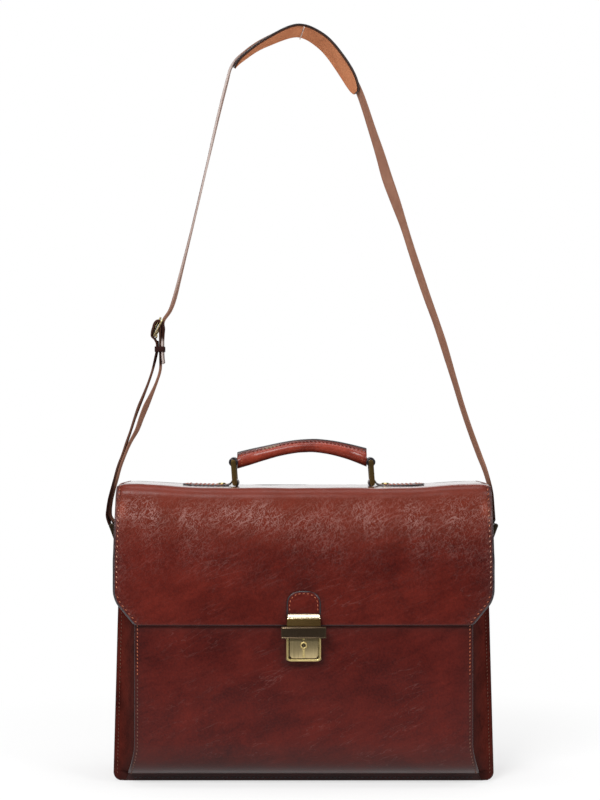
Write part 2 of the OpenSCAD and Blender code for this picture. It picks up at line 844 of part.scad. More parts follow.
module handle_ring_left() {
  color(brass_color) translate([-ring_pitch / 2, 0, ring_z])
    ring(ring_h, ring_in, -ring_lean, ring_end_r, ring_t);
}

module handle_ring_right() {
  color(brass_color) translate([ring_pitch / 2, 0, ring_z])
    ring(ring_h, ring_in, -ring_lean, ring_end_r, ring_t);
}

// Sweep a section along the grip's arch
module grip_arch() {
  translate([ring_top_dx, 0, grip_top_z - grip_arc_r]) rotate([90, 0, 0])
    rotate([0, 0, 90 - grip_angle / 2])
      rotate_extrude(angle = grip_angle, $fn = 128) translate([grip_arc_r, 0]) children();
}

module knuckles(r, hw) {
  for (x = [-ring_pitch / 2, ring_pitch / 2])
    rod_y(x + ring_top_dx, ring_top_z, -hw, hw, r);
}

module grip_cover() {
  color(hide_color) difference() {
    grip_arch() difference() {
      union() {
        circle(grip_r);
        polygon([[0, -5.4], [3.4, -5], [grip_r + 1.6, -1.5], [grip_r + 1.6, 1.5], [3.4, 5], [0, 5.4]]);
      }
      circle(core_r + touch_gap);
    }
    knuckles(knuckle_r + touch_gap, ring_in);
  }
}

module grip_core() {
  color(board_color) difference() {
    grip_arch() circle(core_r);
    knuckles(knuckle_r + touch_gap, ring_in);
  }
}

module grip_loops() {
  color(dark_color) difference() {
    knuckles(knuckle_r, ring_in / 2 - 1.5);
    knuckles(rod_r + run_fit, ring_in);
  }
}

// The rivet on which the right lug turns, with its spacer and inner head
module lug_pivot() {
  outer = lug_x + lug_t / 2 + touch_gap;
  inner = gusset_face - gusset_t - free_gap;
  rod_x(lug_y, lug_z, inner - 2, outer + 0.5, pivot_r);
  rod_x(lug_y, lug_z, gusset_face + free_gap, lug_inner - touch_gap, 6);
  rod_x(lug_y, lug_z, inner - 2, inner, 6);
  translate([outer, lug_y, lug_z]) rotate([0, 90, 0]) cylinder(h = 2.4, r1 = 5, r2 = 3.4);
}

module lug_pivots() {
  color(brass_color) {
    lug_pivot();
    mirror([1, 0, 0]) lug_pivot();
  }
}

// The right leather lug, with its pivot bore below and its loop for the ring on top
module lug() {
  hw = strap_w / 2;
  difference() {
    union() {
      translate([lug_inner, lug_y - hw, lug_z]) cube([lug_t, 2 * hw, lug_h - lug_loop_r + 1.6]);
      rod_x(lug_y, lug_z, lug_inner, lug_inner + lug_t, hw);
      rod_y(lug_x, lug_z + lug_h, lug_y - hw, lug_y + hw, lug_loop_r);
    }
    rod_x(lug_y, lug_z, lug_inner - 1, lug_inner + lug_t + 1, pivot_r + run_fit);
    rod_y(lug_x, lug_z + lug_h, lug_y - hw - 1, lug_y + hw + 1, rod_r + run_fit);
    rod_x(lug_y, lug_z + 17, lug_inner - 1, lug_inner + lug_t + 1, 2 + run_fit);
  }
}

module lug_right() {
  color(dark_color) lug();
}

module lug_left() {
  color(dark_color) mirror([1, 0, 0]) lug();
}

module lug_stud() {
  outer = lug_inner + lug_t;
  rod_x(lug_y, lug_z + 17, lug_inner, outer, 2);
  translate([outer, lug_y, lug_z + 17]) rotate([0, 90, 0]) cylinder(h = 2, r1 = 4.4, r2 = 3);
}

module lug_studs() {
  color(brass_color) {
    lug_stud();
    mirror([1, 0, 0]) lug_stud();
  }
}

module side_ring() {
  translate([lug_x, lug_y, lug_z + lug_h])
    ring(side_ring_h, side_ring_in, side_lean, ring_end_r, ring_t);
}

module side_ring_right() {
  color(brass_color) side_ring();
}

module side_ring_left() {
  color(brass_color) mirror([1, 0, 0]) side_ring();
}

// The fold of the strap round a side ring's upper bar
module ring_fold(x, hw, r) {
  difference() {
    rod_y(x, side_bar_z, lug_y - hw, lug_y + hw, r);
    rod_y(x, side_bar_z, lug_y - hw - 1, lug_y + hw + 1, rod_r + fold_gap);
  }
}

module strap_long() {
  p = smooth(long_route, steps);
  color(strap_color) {
    band(p, 0, len(p) - 1, strap_w, strap_t);
    ring_fold(side_bar_x, strap_w / 2, fold_r);
  }
}

module strap_short() {
  a = smooth(outer_layer, steps);
  b = smooth(inner_layer, steps);
  w = strap_w - 1;
  slot_w = 4;
  color(dark_color) difference() {
    union() {
      band(a, 0, len(a) - 1, w, loop_t);
      band(b, 0, len(b) - 1, w, loop_t);
      ring_fold(-side_bar_x, w / 2, rod_r + fold_gap + loop_t);
      rod_y(lower_bar[0], lower_bar[2], arch_y - w / 2, arch_y + w / 2, buckle_fold_r);
    }
    rod_y(lower_bar[0], lower_bar[2], arch_y - w, arch_y + w, buckle_r + touch_gap);
    translate([lower_bar[0] - 3 * buckle_fold_r, arch_y - slot_w / 2, lower_bar[2] - buckle_fold_r])
      cube([6 * buckle_fold_r, slot_w, buckle_h]);
    rod_y(-side_bar_x, side_bar_z, lug_y - w, lug_y + w, rod_r + fold_gap);
  }
}

// A frame of round bars, in the buckle's own leaning plane
module buckle_frame() {
  color(brass_color) translate(buckle_at) rotate([0, buckle_lean, 0])
    for (s = [-1, 1]) {
      rod_y(0, s * buckle_h / 2, -buckle_w / 2, buckle_w / 2, buckle_r);
      translate([0, s * buckle_w / 2, -buckle_h / 2]) cylinder(h = buckle_h, r = buckle_r);
      for (z = [-buckle_h / 2, buckle_h / 2]) translate([0, s * buckle_w / 2, z]) sphere(buckle_r);
    }
}

// The prong turns on the lower bar and rests on the upper one
module buckle_prong() {
  x = -buckle_r - 1.3;
  color(brass_color) translate(buckle_at) rotate([0, buckle_lean, 0]) difference() {
    union() {
      rod_y(0, -buckle_h / 2, -1.6, 1.6, buckle_r + 1.6);
      translate([x, 0, -buckle_h / 2]) cylinder(h = buckle_h + 1.4, r = 1.1);
    }
    rod_y(0, -buckle_h / 2, -3, 3, buckle_r + run_fit);
  }
}

// The leather band that holds the end of the long strap to the short strap
module strap_keeper() {
  wall = 1.5;
  height = 7;
  z = outer_layer[1][2] + 4;
  x0 = outer_layer[1][0] - loop_t / 2 - 2 * free_gap;
  x1 = long_route[len(long_route) - 2][0] + strap_t / 2 + 2 * free_gap;
  hw = strap_w / 2 + free_gap;
  color(dark_color) translate([0, arch_y, z]) difference() {
    translate([x0 - wall, -hw - wall, 0]) cube([x1 - x0 + 2 * wall, 2 * (hw + wall), height]);
    translate([x0, -hw, -1]) cube([x1 - x0, 2 * hw, height + 2]);
  }
}

// One layer of the shoulder pad, which narrows at both ends
module pad_layer(t, lift) {
  p = smooth(long_route, steps);
  i0 = pad_first * steps;
  i1 = pad_last * steps;
  function wide(i) = let (s = 2 * (i - i0) / (i1 - i0) - 1) pad_w * sqrt(1 - pow(0.97 * s, 8));
  shell(
    [for (i = [i0:i1]) band_row(p, i, wide(i), lift + t / 2)],
    [for (i = [i0:i1]) band_row(p, i, wide(i), lift - t / 2)]
  );
}

module pad_top() {
  color(hide_color) pad_layer(pad_t, -(strap_t + pad_t) / 2 - pad_gap);
}

module pad_base() {
  color(strap_color) pad_layer(pad_t, -(strap_t + 3 * pad_t) / 2 - pad_gap - touch_gap);
}

front_panel();
front_board();
front_lining();
bevel_left();
bevel_right();
divider_panel();
divider_board();
divider_lining();
gusset_left();
gusset_right();
bottom_panel();
bottom_board();
back_panel();
back_board();
back_lining();
lock_base();
lock_case();
lock_face();
key_plug();
release_bar();
latch_bolt();
bar_springs();
lock_inner_plate();
lock_rivets();
flap_leather();
flap_board();
flap_lining();
hasp_tab();
hasp_plate();
hasp_rivets();
handle_tab_left();
handle_tab_right();
tab_studs();
handle_ring_left();
handle_ring_right();
grip_cover();
grip_core();
grip_loops();
lug_pivots();
lug_left();
lug_right();
lug_studs();
side_ring_left();
side_ring_right();
strap_long();
strap_short();
buckle_frame();
buckle_prong();
strap_keeper();
pad_top();
pad_base();
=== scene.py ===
import math

import bpy
import numpy as np
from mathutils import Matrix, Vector


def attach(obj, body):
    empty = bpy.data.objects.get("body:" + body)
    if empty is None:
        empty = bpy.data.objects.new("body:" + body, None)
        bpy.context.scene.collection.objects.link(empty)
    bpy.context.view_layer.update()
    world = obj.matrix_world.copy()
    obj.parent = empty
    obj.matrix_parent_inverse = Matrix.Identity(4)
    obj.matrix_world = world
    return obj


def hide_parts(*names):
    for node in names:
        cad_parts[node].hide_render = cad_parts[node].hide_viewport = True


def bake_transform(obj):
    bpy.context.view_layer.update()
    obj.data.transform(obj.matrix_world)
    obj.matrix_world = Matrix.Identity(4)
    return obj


bl_info = {
    "name": "Flap Briefcase",
    "version": (1, 0, 0),
    "blender": (4, 5, 0),
    "location": "View3D > Sidebar > Briefcase",
    "description": "Dresses the packed briefcase in leather, brass, thread and linings",
    "category": "Object",
}

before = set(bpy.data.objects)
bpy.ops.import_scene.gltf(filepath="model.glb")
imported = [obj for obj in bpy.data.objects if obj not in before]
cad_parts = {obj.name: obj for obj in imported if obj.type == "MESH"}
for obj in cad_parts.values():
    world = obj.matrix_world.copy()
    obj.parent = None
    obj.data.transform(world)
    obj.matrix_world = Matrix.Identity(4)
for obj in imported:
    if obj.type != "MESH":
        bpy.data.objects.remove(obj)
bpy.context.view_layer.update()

MM = 0.001

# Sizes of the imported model, in millimetres
CASE_W = 402.0
CASE_H = 317.5
FLARE = 8.6
FRONT_Y = -62.0
BACK_Y = 62.0
SEAM_Y = -20.0
POCKET_H = 284.0
DIVIDER_H = 298.0
TURN_R = 38.0
SEW_H = 9.0
TURN_Z = TURN_R + SEW_H
TURN_Y = FRONT_Y + TURN_R
POCKET_HW = 178.6
SPREAD = 14.0
CORNER_R = 9.0
HIDE_T = 2.0
GUSSET_T = 1.8
GUSSET_FRONT = -18.0
GUSSET_BACK = 60.0
DROP_Y = -66.6
FLAP_R = 13.0
FLAP_LOW = 173.7
BEAD_R = 3.6
HINGE_Y = 58.4
HINGE_Z = 313.9
LOCK_LOW = 135.5
LOCK_TOP = 171.7
LOCK_FRONT = -73.0
KEY_Z = 153.3
RING_X = 74.75
RING_Z = 320.5
RING_TOP_DX = -1.604
RING_TOP_Z = 343.444
ARCH_Y = 73.0
LUG_X = 208.0
LUG_Y = 50.0
LUG_Z = 222.0
SIDE_BAR_X = 213.985
SIDE_BAR_Z = 270.444
BUCKLE = (-164.5, 73.0, 493.0)
BUCKLE_LEAN = math.radians(25)
BUCKLE_H = 21.0


# ---------------------------------------------------------------- shapes

def half_w(z):
    """Half of the case's width at a height."""
    return CASE_W / 2 + FLARE * (0.5 - z / CASE_H)


def pocket_edge(z):
    """Half of the front panel's width at a height."""
    share = np.clip(1 - np.asarray(z, float) / TURN_Z, 0, None)
    return POCKET_HW + SPREAD * share ** 1.6


def panel_edge(z, inset=0.0):
    """Half width of a case panel with round bottom corners."""
    z = np.asarray(z, float)
    drop = np.clip(CORNER_R - z, 0, CORNER_R)
    corner = CORNER_R - np.sqrt(np.clip(CORNER_R ** 2 - drop ** 2, 0, None))
    return half_w(np.maximum(z, CORNER_R)) - corner - inset


def ease(x, a, b):
    """Smooth step of x from a to b."""
    t = np.clip((np.asarray(x, float) - a) / (b - a), 0, 1)
    return t * t * (3 - 2 * t)


def ripple(u, v, seed, length, height, count=7):
    """Soft unevenness: a sum of waves in random directions."""
    dice = np.random.default_rng(seed)
    out = np.zeros(np.broadcast(u, v).shape)
    for _ in range(count):
        angle, phase = dice.uniform(0, 2 * np.pi, 2)
        wave = length * dice.uniform(0.6, 1.7)
        out += np.sin(2 * np.pi * (u * np.cos(angle) + v * np.sin(angle)) / wave + phase)
    return height * out / math.sqrt(count)


def unit(v):
    return v / np.maximum(np.linalg.norm(v, axis=-1, keepdims=True), 1e-9)


def smooth_route(points, steps):
    """Catmull-Rom curve through points of any width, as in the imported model."""
    p = np.asarray(points, float)
    rows = []
    last = len(p) - 1
    for i in range(last):
        a, b, c, d = p[max(i - 1, 0)], p[i], p[i + 1], p[min(i + 2, last)]
        for k in range(steps):
            t = k / steps
            rows.append(0.5 * (2 * b + (c - a) * t + (2 * a - 5 * b + 4 * c - d) * t * t
                               + (3 * b - a - 3 * c + d) * t ** 3))
    rows.append(p[last])
    return np.array(rows)


def walk(points, spacing):
    """Points every spacing along a line, and how far along each lies."""
    p = np.asarray(points, float)
    run = np.concatenate([[0], np.cumsum(np.linalg.norm(np.diff(p, axis=0), axis=1))])
    count = max(int(round(run[-1] / spacing)), 2)
    at = np.linspace(0, run[-1], count + 1)
    return np.stack([np.interp(at, run, p[:, k]) for k in range(p.shape[1])], 1), at


def arc2(c, r, a0, a1, n):
    a = np.radians(np.linspace(a0, a1, n))
    return np.stack([c[0] + r * np.cos(a), c[1] + r * np.sin(a)], 1)


def outward(path):
    """Normals of a side profile of (y, z) points whose outside lies to the left of -Y going down."""
    t = unit(np.gradient(path, axis=0))
    return np.stack([t[:, 1], -t[:, 0]], 1)


def columns(step, rim=(0, 0.5, 1.1, 1.8, 2.4, 3.0, 3.6, 4.2, 5.0, 6.4, 8.5), width=360.0):
    """Distances from both edges, close together near the edges: (rim list, middle shares)."""
    middle = np.linspace(-1, 1, max(int(width / step), 3) + 1)[1:-1]
    return np.array(rim, float), middle


def spread_columns(hw, rim, middle):
    """Places across a sheet for rows of half width hw, and their distances from the edge."""
    hw = np.asarray(hw, float)[:, None]
    inner = hw - rim[-1]
    x = np.concatenate([-(hw - rim[None, :]), inner * middle[None, :], (hw - rim[None, ::-1])], 1)
    return x, hw - np.abs(x)


# ---------------------------------------------------------------- meshes

def new_piece(name, verts, faces, looks, look_of=None, marks=None, sharp=None):
    """A mesh object in the scene, from millimetres."""
    mesh = bpy.data.meshes.new(name)
    mesh.from_pydata((np.asarray(verts, float) * MM).tolist(), [], [list(map(int, f)) for f in faces])
    for look in looks:
        mesh.materials.append(look)
    if look_of is not None:
        mesh.polygons.foreach_set("material_index", np.asarray(look_of, np.int32))
    mesh.polygons.foreach_set("use_smooth", np.ones(len(mesh.polygons), bool))
    for mark, values in (marks or {}).items():
        layer = mesh.attributes.new(mark, "FLOAT", "POINT")
        layer.data.foreach_set("value", np.asarray(values, np.float32))
    mesh.update()
    if sharp:
        mesh.set_sharp_from_angle(angle=math.radians(sharp))
    piece = bpy.data.objects.new(name, mesh)
    bpy.context.scene.collection.objects.link(piece)
    return piece


def place(piece, body, swaps=()):
    """The piece rides on its body and stands for the CAD nodes that it hides."""
    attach(piece, body)
    if swaps:
        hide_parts(*swaps)
    return piece


def sheet_parts(face, back, bulge=0.4, turns=4):
    """Vertices, quads and look numbers of a closed sheet: 0 face, 1 cut edge, 2 back."""
    m, n = face.shape[:2]
    k = m * n
    i, j = np.meshgrid(np.arange(m - 1), np.arange(n - 1), indexing="ij")
    a = (i * n + j).ravel()
    top = np.stack([a, a + n, a + n + 1, a + 1], 1)
    low = np.stack([a, a + 1, a + n + 1, a + n], 1) + k
    loop = np.array([(0, q) for q in range(n)] + [(p, n - 1) for p in range(1, m)]
                    + [(m - 1, q) for q in range(n - 2, -1, -1)] + [(p, 0) for p in range(m - 2, 0, -1)])
    inner = np.stack([np.clip(loop[:, 0], 1, m - 2), np.clip(loop[:, 1], 1, n - 2)], 1)
    middle = (face + back) / 2
    half = (face - back)[loop[:, 0], loop[:, 1]] / 2
    mid = middle[loop[:, 0], loop[:, 1]]
    out = mid - middle[inner[:, 0], inner[:, 1]]
    thick = unit(half)
    out = unit(out - (out * thick).sum(1, keepdims=True) * thick)
    rings = [loop[:, 0] * n + loop[:, 1]]
    verts = [face.reshape(-1, 3), back.reshape(-1, 3)]
    for t in range(1, turns):
        angle = math.pi * t / turns
        verts.append(mid + half * math.cos(angle) + out * bulge * math.sin(angle))
        rings.append(2 * k + (t - 1) * len(loop) + np.arange(len(loop)))
    rings.append(k + loop[:, 0] * n + loop[:, 1])
    rim = []
    for r0, r1 in zip(rings[:-1], rings[1:]):
        rim.append(np.stack([r0, np.roll(r0, -1), np.roll(r1, -1), r1], 1))
    rim = np.concatenate(rim)
    verts = np.concatenate(verts)
    # turn everything over if the face looks inwards
    q = top[len(top) // 2]
    turn = np.cross(verts[q[1]] - verts[q[0]], verts[q[3]] - verts[q[0]])
    if turn @ (verts[q[0]] - verts[q[0] + k]) < 0:
        top, low, rim = top[:, ::-1], low[:, ::-1], rim[:, ::-1]
    faces = np.concatenate([top, rim, low])
    look = np.concatenate([np.zeros(len(top)), np.ones(len(rim)), np.full(len(low), 2)])
    return verts, faces, look


def sheet(name, face, back, looks, marks=None, bulge=0.4, turns=4, painted=(0, 0, 0), worked=True):
    """A closed leather sheet between two grids of points. painted counts the columns at each side, and the
    rows at the start and end, of the face that carry the edge's paint. worked rims are darkened."""
    verts, faces, look = sheet_parts(face, back, bulge, turns)
    rows, cols = face.shape[0] - 1, face.shape[1] - 1
    i, j = np.divmod(np.arange(rows * cols), cols)
    rim = (j < painted[0]) | (j >= cols - painted[0]) | (i < painted[1]) | (i >= rows - painted[2])
    look[:rows * cols][rim] = 1
    k = face.shape[0] * face.shape[1]
    full = {}
    for mark, values in (marks or {}).items():
        layer = np.zeros(len(verts))
        layer[:k] = np.asarray(values).ravel()
        layer[k:2 * k] = layer[:k] * 0.5
        grid = layer[:k].reshape(face.shape[:2])
        beside = np.concatenate([grid[0], grid[1:, -1], grid[-1, -2::-1], grid[-2:0:-1, 0]])
        layer[2 * k:] = 1.0 if mark == "burnish_and_shade" and worked else np.tile(beside, turns - 1)
        full[mark] = layer
    return new_piece(name, verts, faces, looks, look, full)


class Bundle:
    """Many small meshes gathered into one piece."""

    def __init__(self):
        self.verts, self.faces, self.looks, self.count = [], [], [], 0

    def add(self, verts, faces, look=0):
        verts = np.asarray(verts, float)
        self.verts.append(verts)
        self.faces += [tuple(int(v) + self.count for v in f) for f in faces]
        self.looks += list(look) if np.ndim(look) else [look] * len(faces)
        self.count += len(verts)

    def piece(self, name, looks, sharp=None):
        return new_piece(name, np.concatenate(self.verts), self.faces, looks, self.looks, sharp=sharp)


def tube_parts(line, radius, sides=10, flat=1.0, up=(0, 0, 1)):
    """A tube round a line of points, closed at both ends. radius may change along it."""
    p = np.asarray(line, float)
    r = np.broadcast_to(np.asarray(radius, float), (len(p),))
    t = unit(np.gradient(p, axis=0))
    up = np.asarray(up, float)
    side = unit(np.cross(t, up))
    top = np.cross(side, t)
    a = np.linspace(0, 2 * np.pi, sides, endpoint=False)
    ring = (side[:, None] * np.cos(a)[None, :, None] + top[:, None] * np.sin(a)[None, :, None] * flat)
    verts = (p[:, None] + ring * r[:, None, None]).reshape(-1, 3)
    faces = []
    for i in range(len(p) - 1):
        for j in range(sides):
            b = (j + 1) % sides
            faces.append((i * sides + j, i * sides + b, (i + 1) * sides + b, (i + 1) * sides + j))
    faces.append(tuple(range(sides))[::-1])
    faces.append(tuple((len(p) - 1) * sides + j for j in range(sides)))
    return verts, faces


def stitches(bundle, line, normals, pitch, length=3.4, width=0.85, rise=0.35, slant=8.0, look=0,
             shift=0.5):
    """Threads laid along a line on a surface, one every pitch."""
    line = np.asarray(line, float)
    run = np.concatenate([[0], np.cumsum(np.linalg.norm(np.diff(line, axis=0), axis=1))])
    count = int(run[-1] / pitch)
    if count < 1:
        return
    margin = (run[-1] - count * pitch) / 2
    at = margin + pitch * (np.arange(count) + shift)
    along = np.stack([np.interp(at, run, line[:, k]) for k in range(3)], 1)
    tangent = unit(np.gradient(line, axis=0))
    tangent = unit(np.stack([np.interp(at, run, tangent[:, k]) for k in range(3)], 1))
    normal = unit(np.stack([np.interp(at, run, np.asarray(normals)[:, k]) for k in range(3)], 1))
    across = np.cross(normal, tangent)
    c, s = math.cos(math.radians(slant)), math.sin(math.radians(slant))
    stations = np.array([-1.0, -0.86, -0.5, 0.0, 0.5, 0.86, 1.0])
    sides = 8
    a = np.linspace(0, 2 * np.pi, sides, endpoint=False)
    for p, t, n, w in zip(along, tangent, normal, across):
        t2, w2 = t * c + w * s, w * c - t * s
        verts = []
        for u in stations:
            r = math.sqrt(max(1 - u ** 4, 0.0)) if abs(u) < 1 else 0.18
            centre = p + t2 * u * length / 2 + n * (rise * (0.55 - 0.9 * u * u))
            for q in a:
                verts.append(centre + w2 * math.cos(q) * r * width / 2 + n * math.sin(q) * r * rise)
        faces = []
        last = len(stations) - 1
        for i in range(last):
            for j in range(sides):
                b = (j + 1) % sides
                faces.append((i * sides + j, i * sides + b, (i + 1) * sides + b, (i + 1) * sides + j))
        faces.append(tuple(range(sides))[::-1])
        faces.append(tuple(last * sides + j for j in range(sides)))
        bundle.add(verts, faces, look)


def plate_parts(outline, depth_fn, face_at, back_at, bevel=0.5, steps=3, both=True):
    """A flat plate of any convex-like outline of (u, v) points, with rounded edges.
    depth_fn turns arrays (u, v, w) into points, where w runs from back_at to face_at."""
    o = np.asarray(outline, float)
    ahead, behind = np.roll(o, -1, 0) - o, o - np.roll(o, 1, 0)
    na = unit(np.stack([ahead[:, 1], -ahead[:, 0]], 1))
    nb = unit(np.stack([behind[:, 1], -behind[:, 0]], 1))
    n = unit(na + nb)
    n = n / np.maximum((n * na).sum(1, keepdims=True), 0.4)
    area = 0.5 * np.sum(o[:, 0] * np.roll(o[:, 1], -1) - np.roll(o[:, 0], -1) * o[:, 1])
    if area < 0:
        n = -n
    rings = []
    sign = 1 if face_at > back_at else -1
    for k in range(steps + 1):
        a = math.pi / 2 * k / steps
        rings.append((o - n * bevel * (1 - math.sin(a)), face_at - sign * bevel * (1 - math.cos(a))))
    if both:
        for k in range(steps + 1):
            a = math.pi / 2 * k / steps
            rings.append((o - n * bevel * (1 - math.cos(a)), back_at + sign * bevel * (1 - math.sin(a))))
    else:
        rings.append((o, back_at))
    m = len(o)
    verts = np.concatenate([depth_fn(r[:, 0], r[:, 1], np.full(m, w)) for r, w in rings])
    faces = []
    for k in range(len(rings) - 1):
        for j in range(m):
            b = (j + 1) % m
            faces.append((k * m + j, k * m + b, (k + 1) * m + b, (k + 1) * m + j))
    look = [1] * len(faces)
    faces.append(tuple(range(m))[::-1])
    faces.append(tuple((len(rings) - 1) * m + j for j in range(m)))
    look += [0, 2]
    return verts, fix_turn(verts, faces), look


def fix_turn(verts, faces):
    """Turns a closed mesh's faces outwards, by its volume."""
    v = np.asarray(verts, float)
    volume = 0.0
    for f in faces:
        for i in range(1, len(f) - 1):
            volume += np.dot(v[f[0]], np.cross(v[f[i]], v[f[i + 1]]))
    return faces if volume > 0 else [tuple(f)[::-1] for f in faces]


def xz_at(u, v, w):
    """Outline in X and Z, depth along Y."""
    return np.stack([u, w, v], 1)


def xy_at(u, v, w):
    """Outline in X and Y, depth along Z."""
    return np.stack([u, v, w], 1)


def yz_at(u, v, w):
    """Outline in Y and Z, depth along X."""
    return np.stack([w, u, v], 1)


# ---------------------------------------------------------------- finishes

def paint(r, g, b):
    """A colour of 0 to 255 as the linear values that a shader takes."""
    out = []
    for c in (r, g, b):
        c /= 255
        out.append(c / 12.92 if c <= 0.04045 else ((c + 0.055) / 1.055) ** 2.4)
    return tuple(out)


def rgba(colour):
    return tuple(colour)[:3] + (1.0,)


def add_node(tree, kind, inputs=None, **props):
    """A node with its settings; an input is a value or another node's output."""
    node = tree.nodes.new(kind)
    for key, value in props.items():
        setattr(node, key, value)
    for key, value in (inputs or {}).items():
        if isinstance(value, bpy.types.NodeSocket):
            tree.links.new(value, node.inputs[key])
        else:
            node.inputs[key].default_value = value
    return node


def reckon(tree, operation, a, b=0.0, c=0.0, clamp=False):
    node = add_node(tree, "ShaderNodeMath", {0: a, 1: b, 2: c}, operation=operation, use_clamp=clamp)
    return node.outputs[0]


def remap(tree, value, low, high, to_low=0.0, to_high=1.0):
    node = add_node(tree, "ShaderNodeMapRange", {"Value": value, "From Min": low, "From Max": high,
                                                 "To Min": to_low, "To Max": to_high}, clamp=True)
    return node.outputs["Result"]


def blend_colours(tree, share, a, b, kind="MIX"):
    node = add_node(tree, "ShaderNodeMix", data_type="RGBA", blend_type=kind)
    for key, value in ((0, share), (6, a), (7, b)):
        if isinstance(value, bpy.types.NodeSocket):
            tree.links.new(value, node.inputs[key])
        else:
            node.inputs[key].default_value = value if key == 0 else rgba(value)
    return node.outputs[2]


def noise(tree, place_at, scale, detail=2.0, rough=0.5, distort=0.0):
    node = add_node(tree, "ShaderNodeTexNoise", {"Vector": place_at, "Scale": scale, "Detail": detail,
                                                 "Roughness": rough, "Distortion": distort})
    return node.outputs["Fac"]


def stretched(tree, place_at, angle, stretch):
    """Coordinates drawn out along a direction in the front plane, at an angle above the horizontal."""
    node = add_node(tree, "ShaderNodeMapping", {"Vector": place_at, "Rotation": (0.0, -math.radians(angle), 0.0),
                                                "Scale": (stretch, 1.0, 1.0)}, vector_type="TEXTURE")
    return node.outputs["Vector"]


def ridge(tree, value, wide):
    """1 on a thin winding line where the value crosses its middle, 0 away from it."""
    off = reckon(tree, "ABSOLUTE", reckon(tree, "SUBTRACT", value, 0.5))
    return remap(tree, off, 0.0, wide, 1.0, 0.0)


def new_group(name, colours=(), floats=(), outs=()):
    """A shader node group with its sockets, and its input and output nodes."""
    tree = bpy.data.node_groups.new(name, "ShaderNodeTree")
    for key, value in colours:
        tree.interface.new_socket(name=key, in_out="INPUT", socket_type="NodeSocketColor").default_value = rgba(value)
    for key, value in floats:
        tree.interface.new_socket(name=key, in_out="INPUT", socket_type="NodeSocketFloat").default_value = value
    for key in outs:
        kind = "NodeSocketColor" if key == "Colour" else "NodeSocketFloat"
        tree.interface.new_socket(name=key, in_out="OUTPUT", socket_type=kind)
    return tree, tree.nodes.new("NodeGroupInput"), tree.nodes.new("NodeGroupOutput")


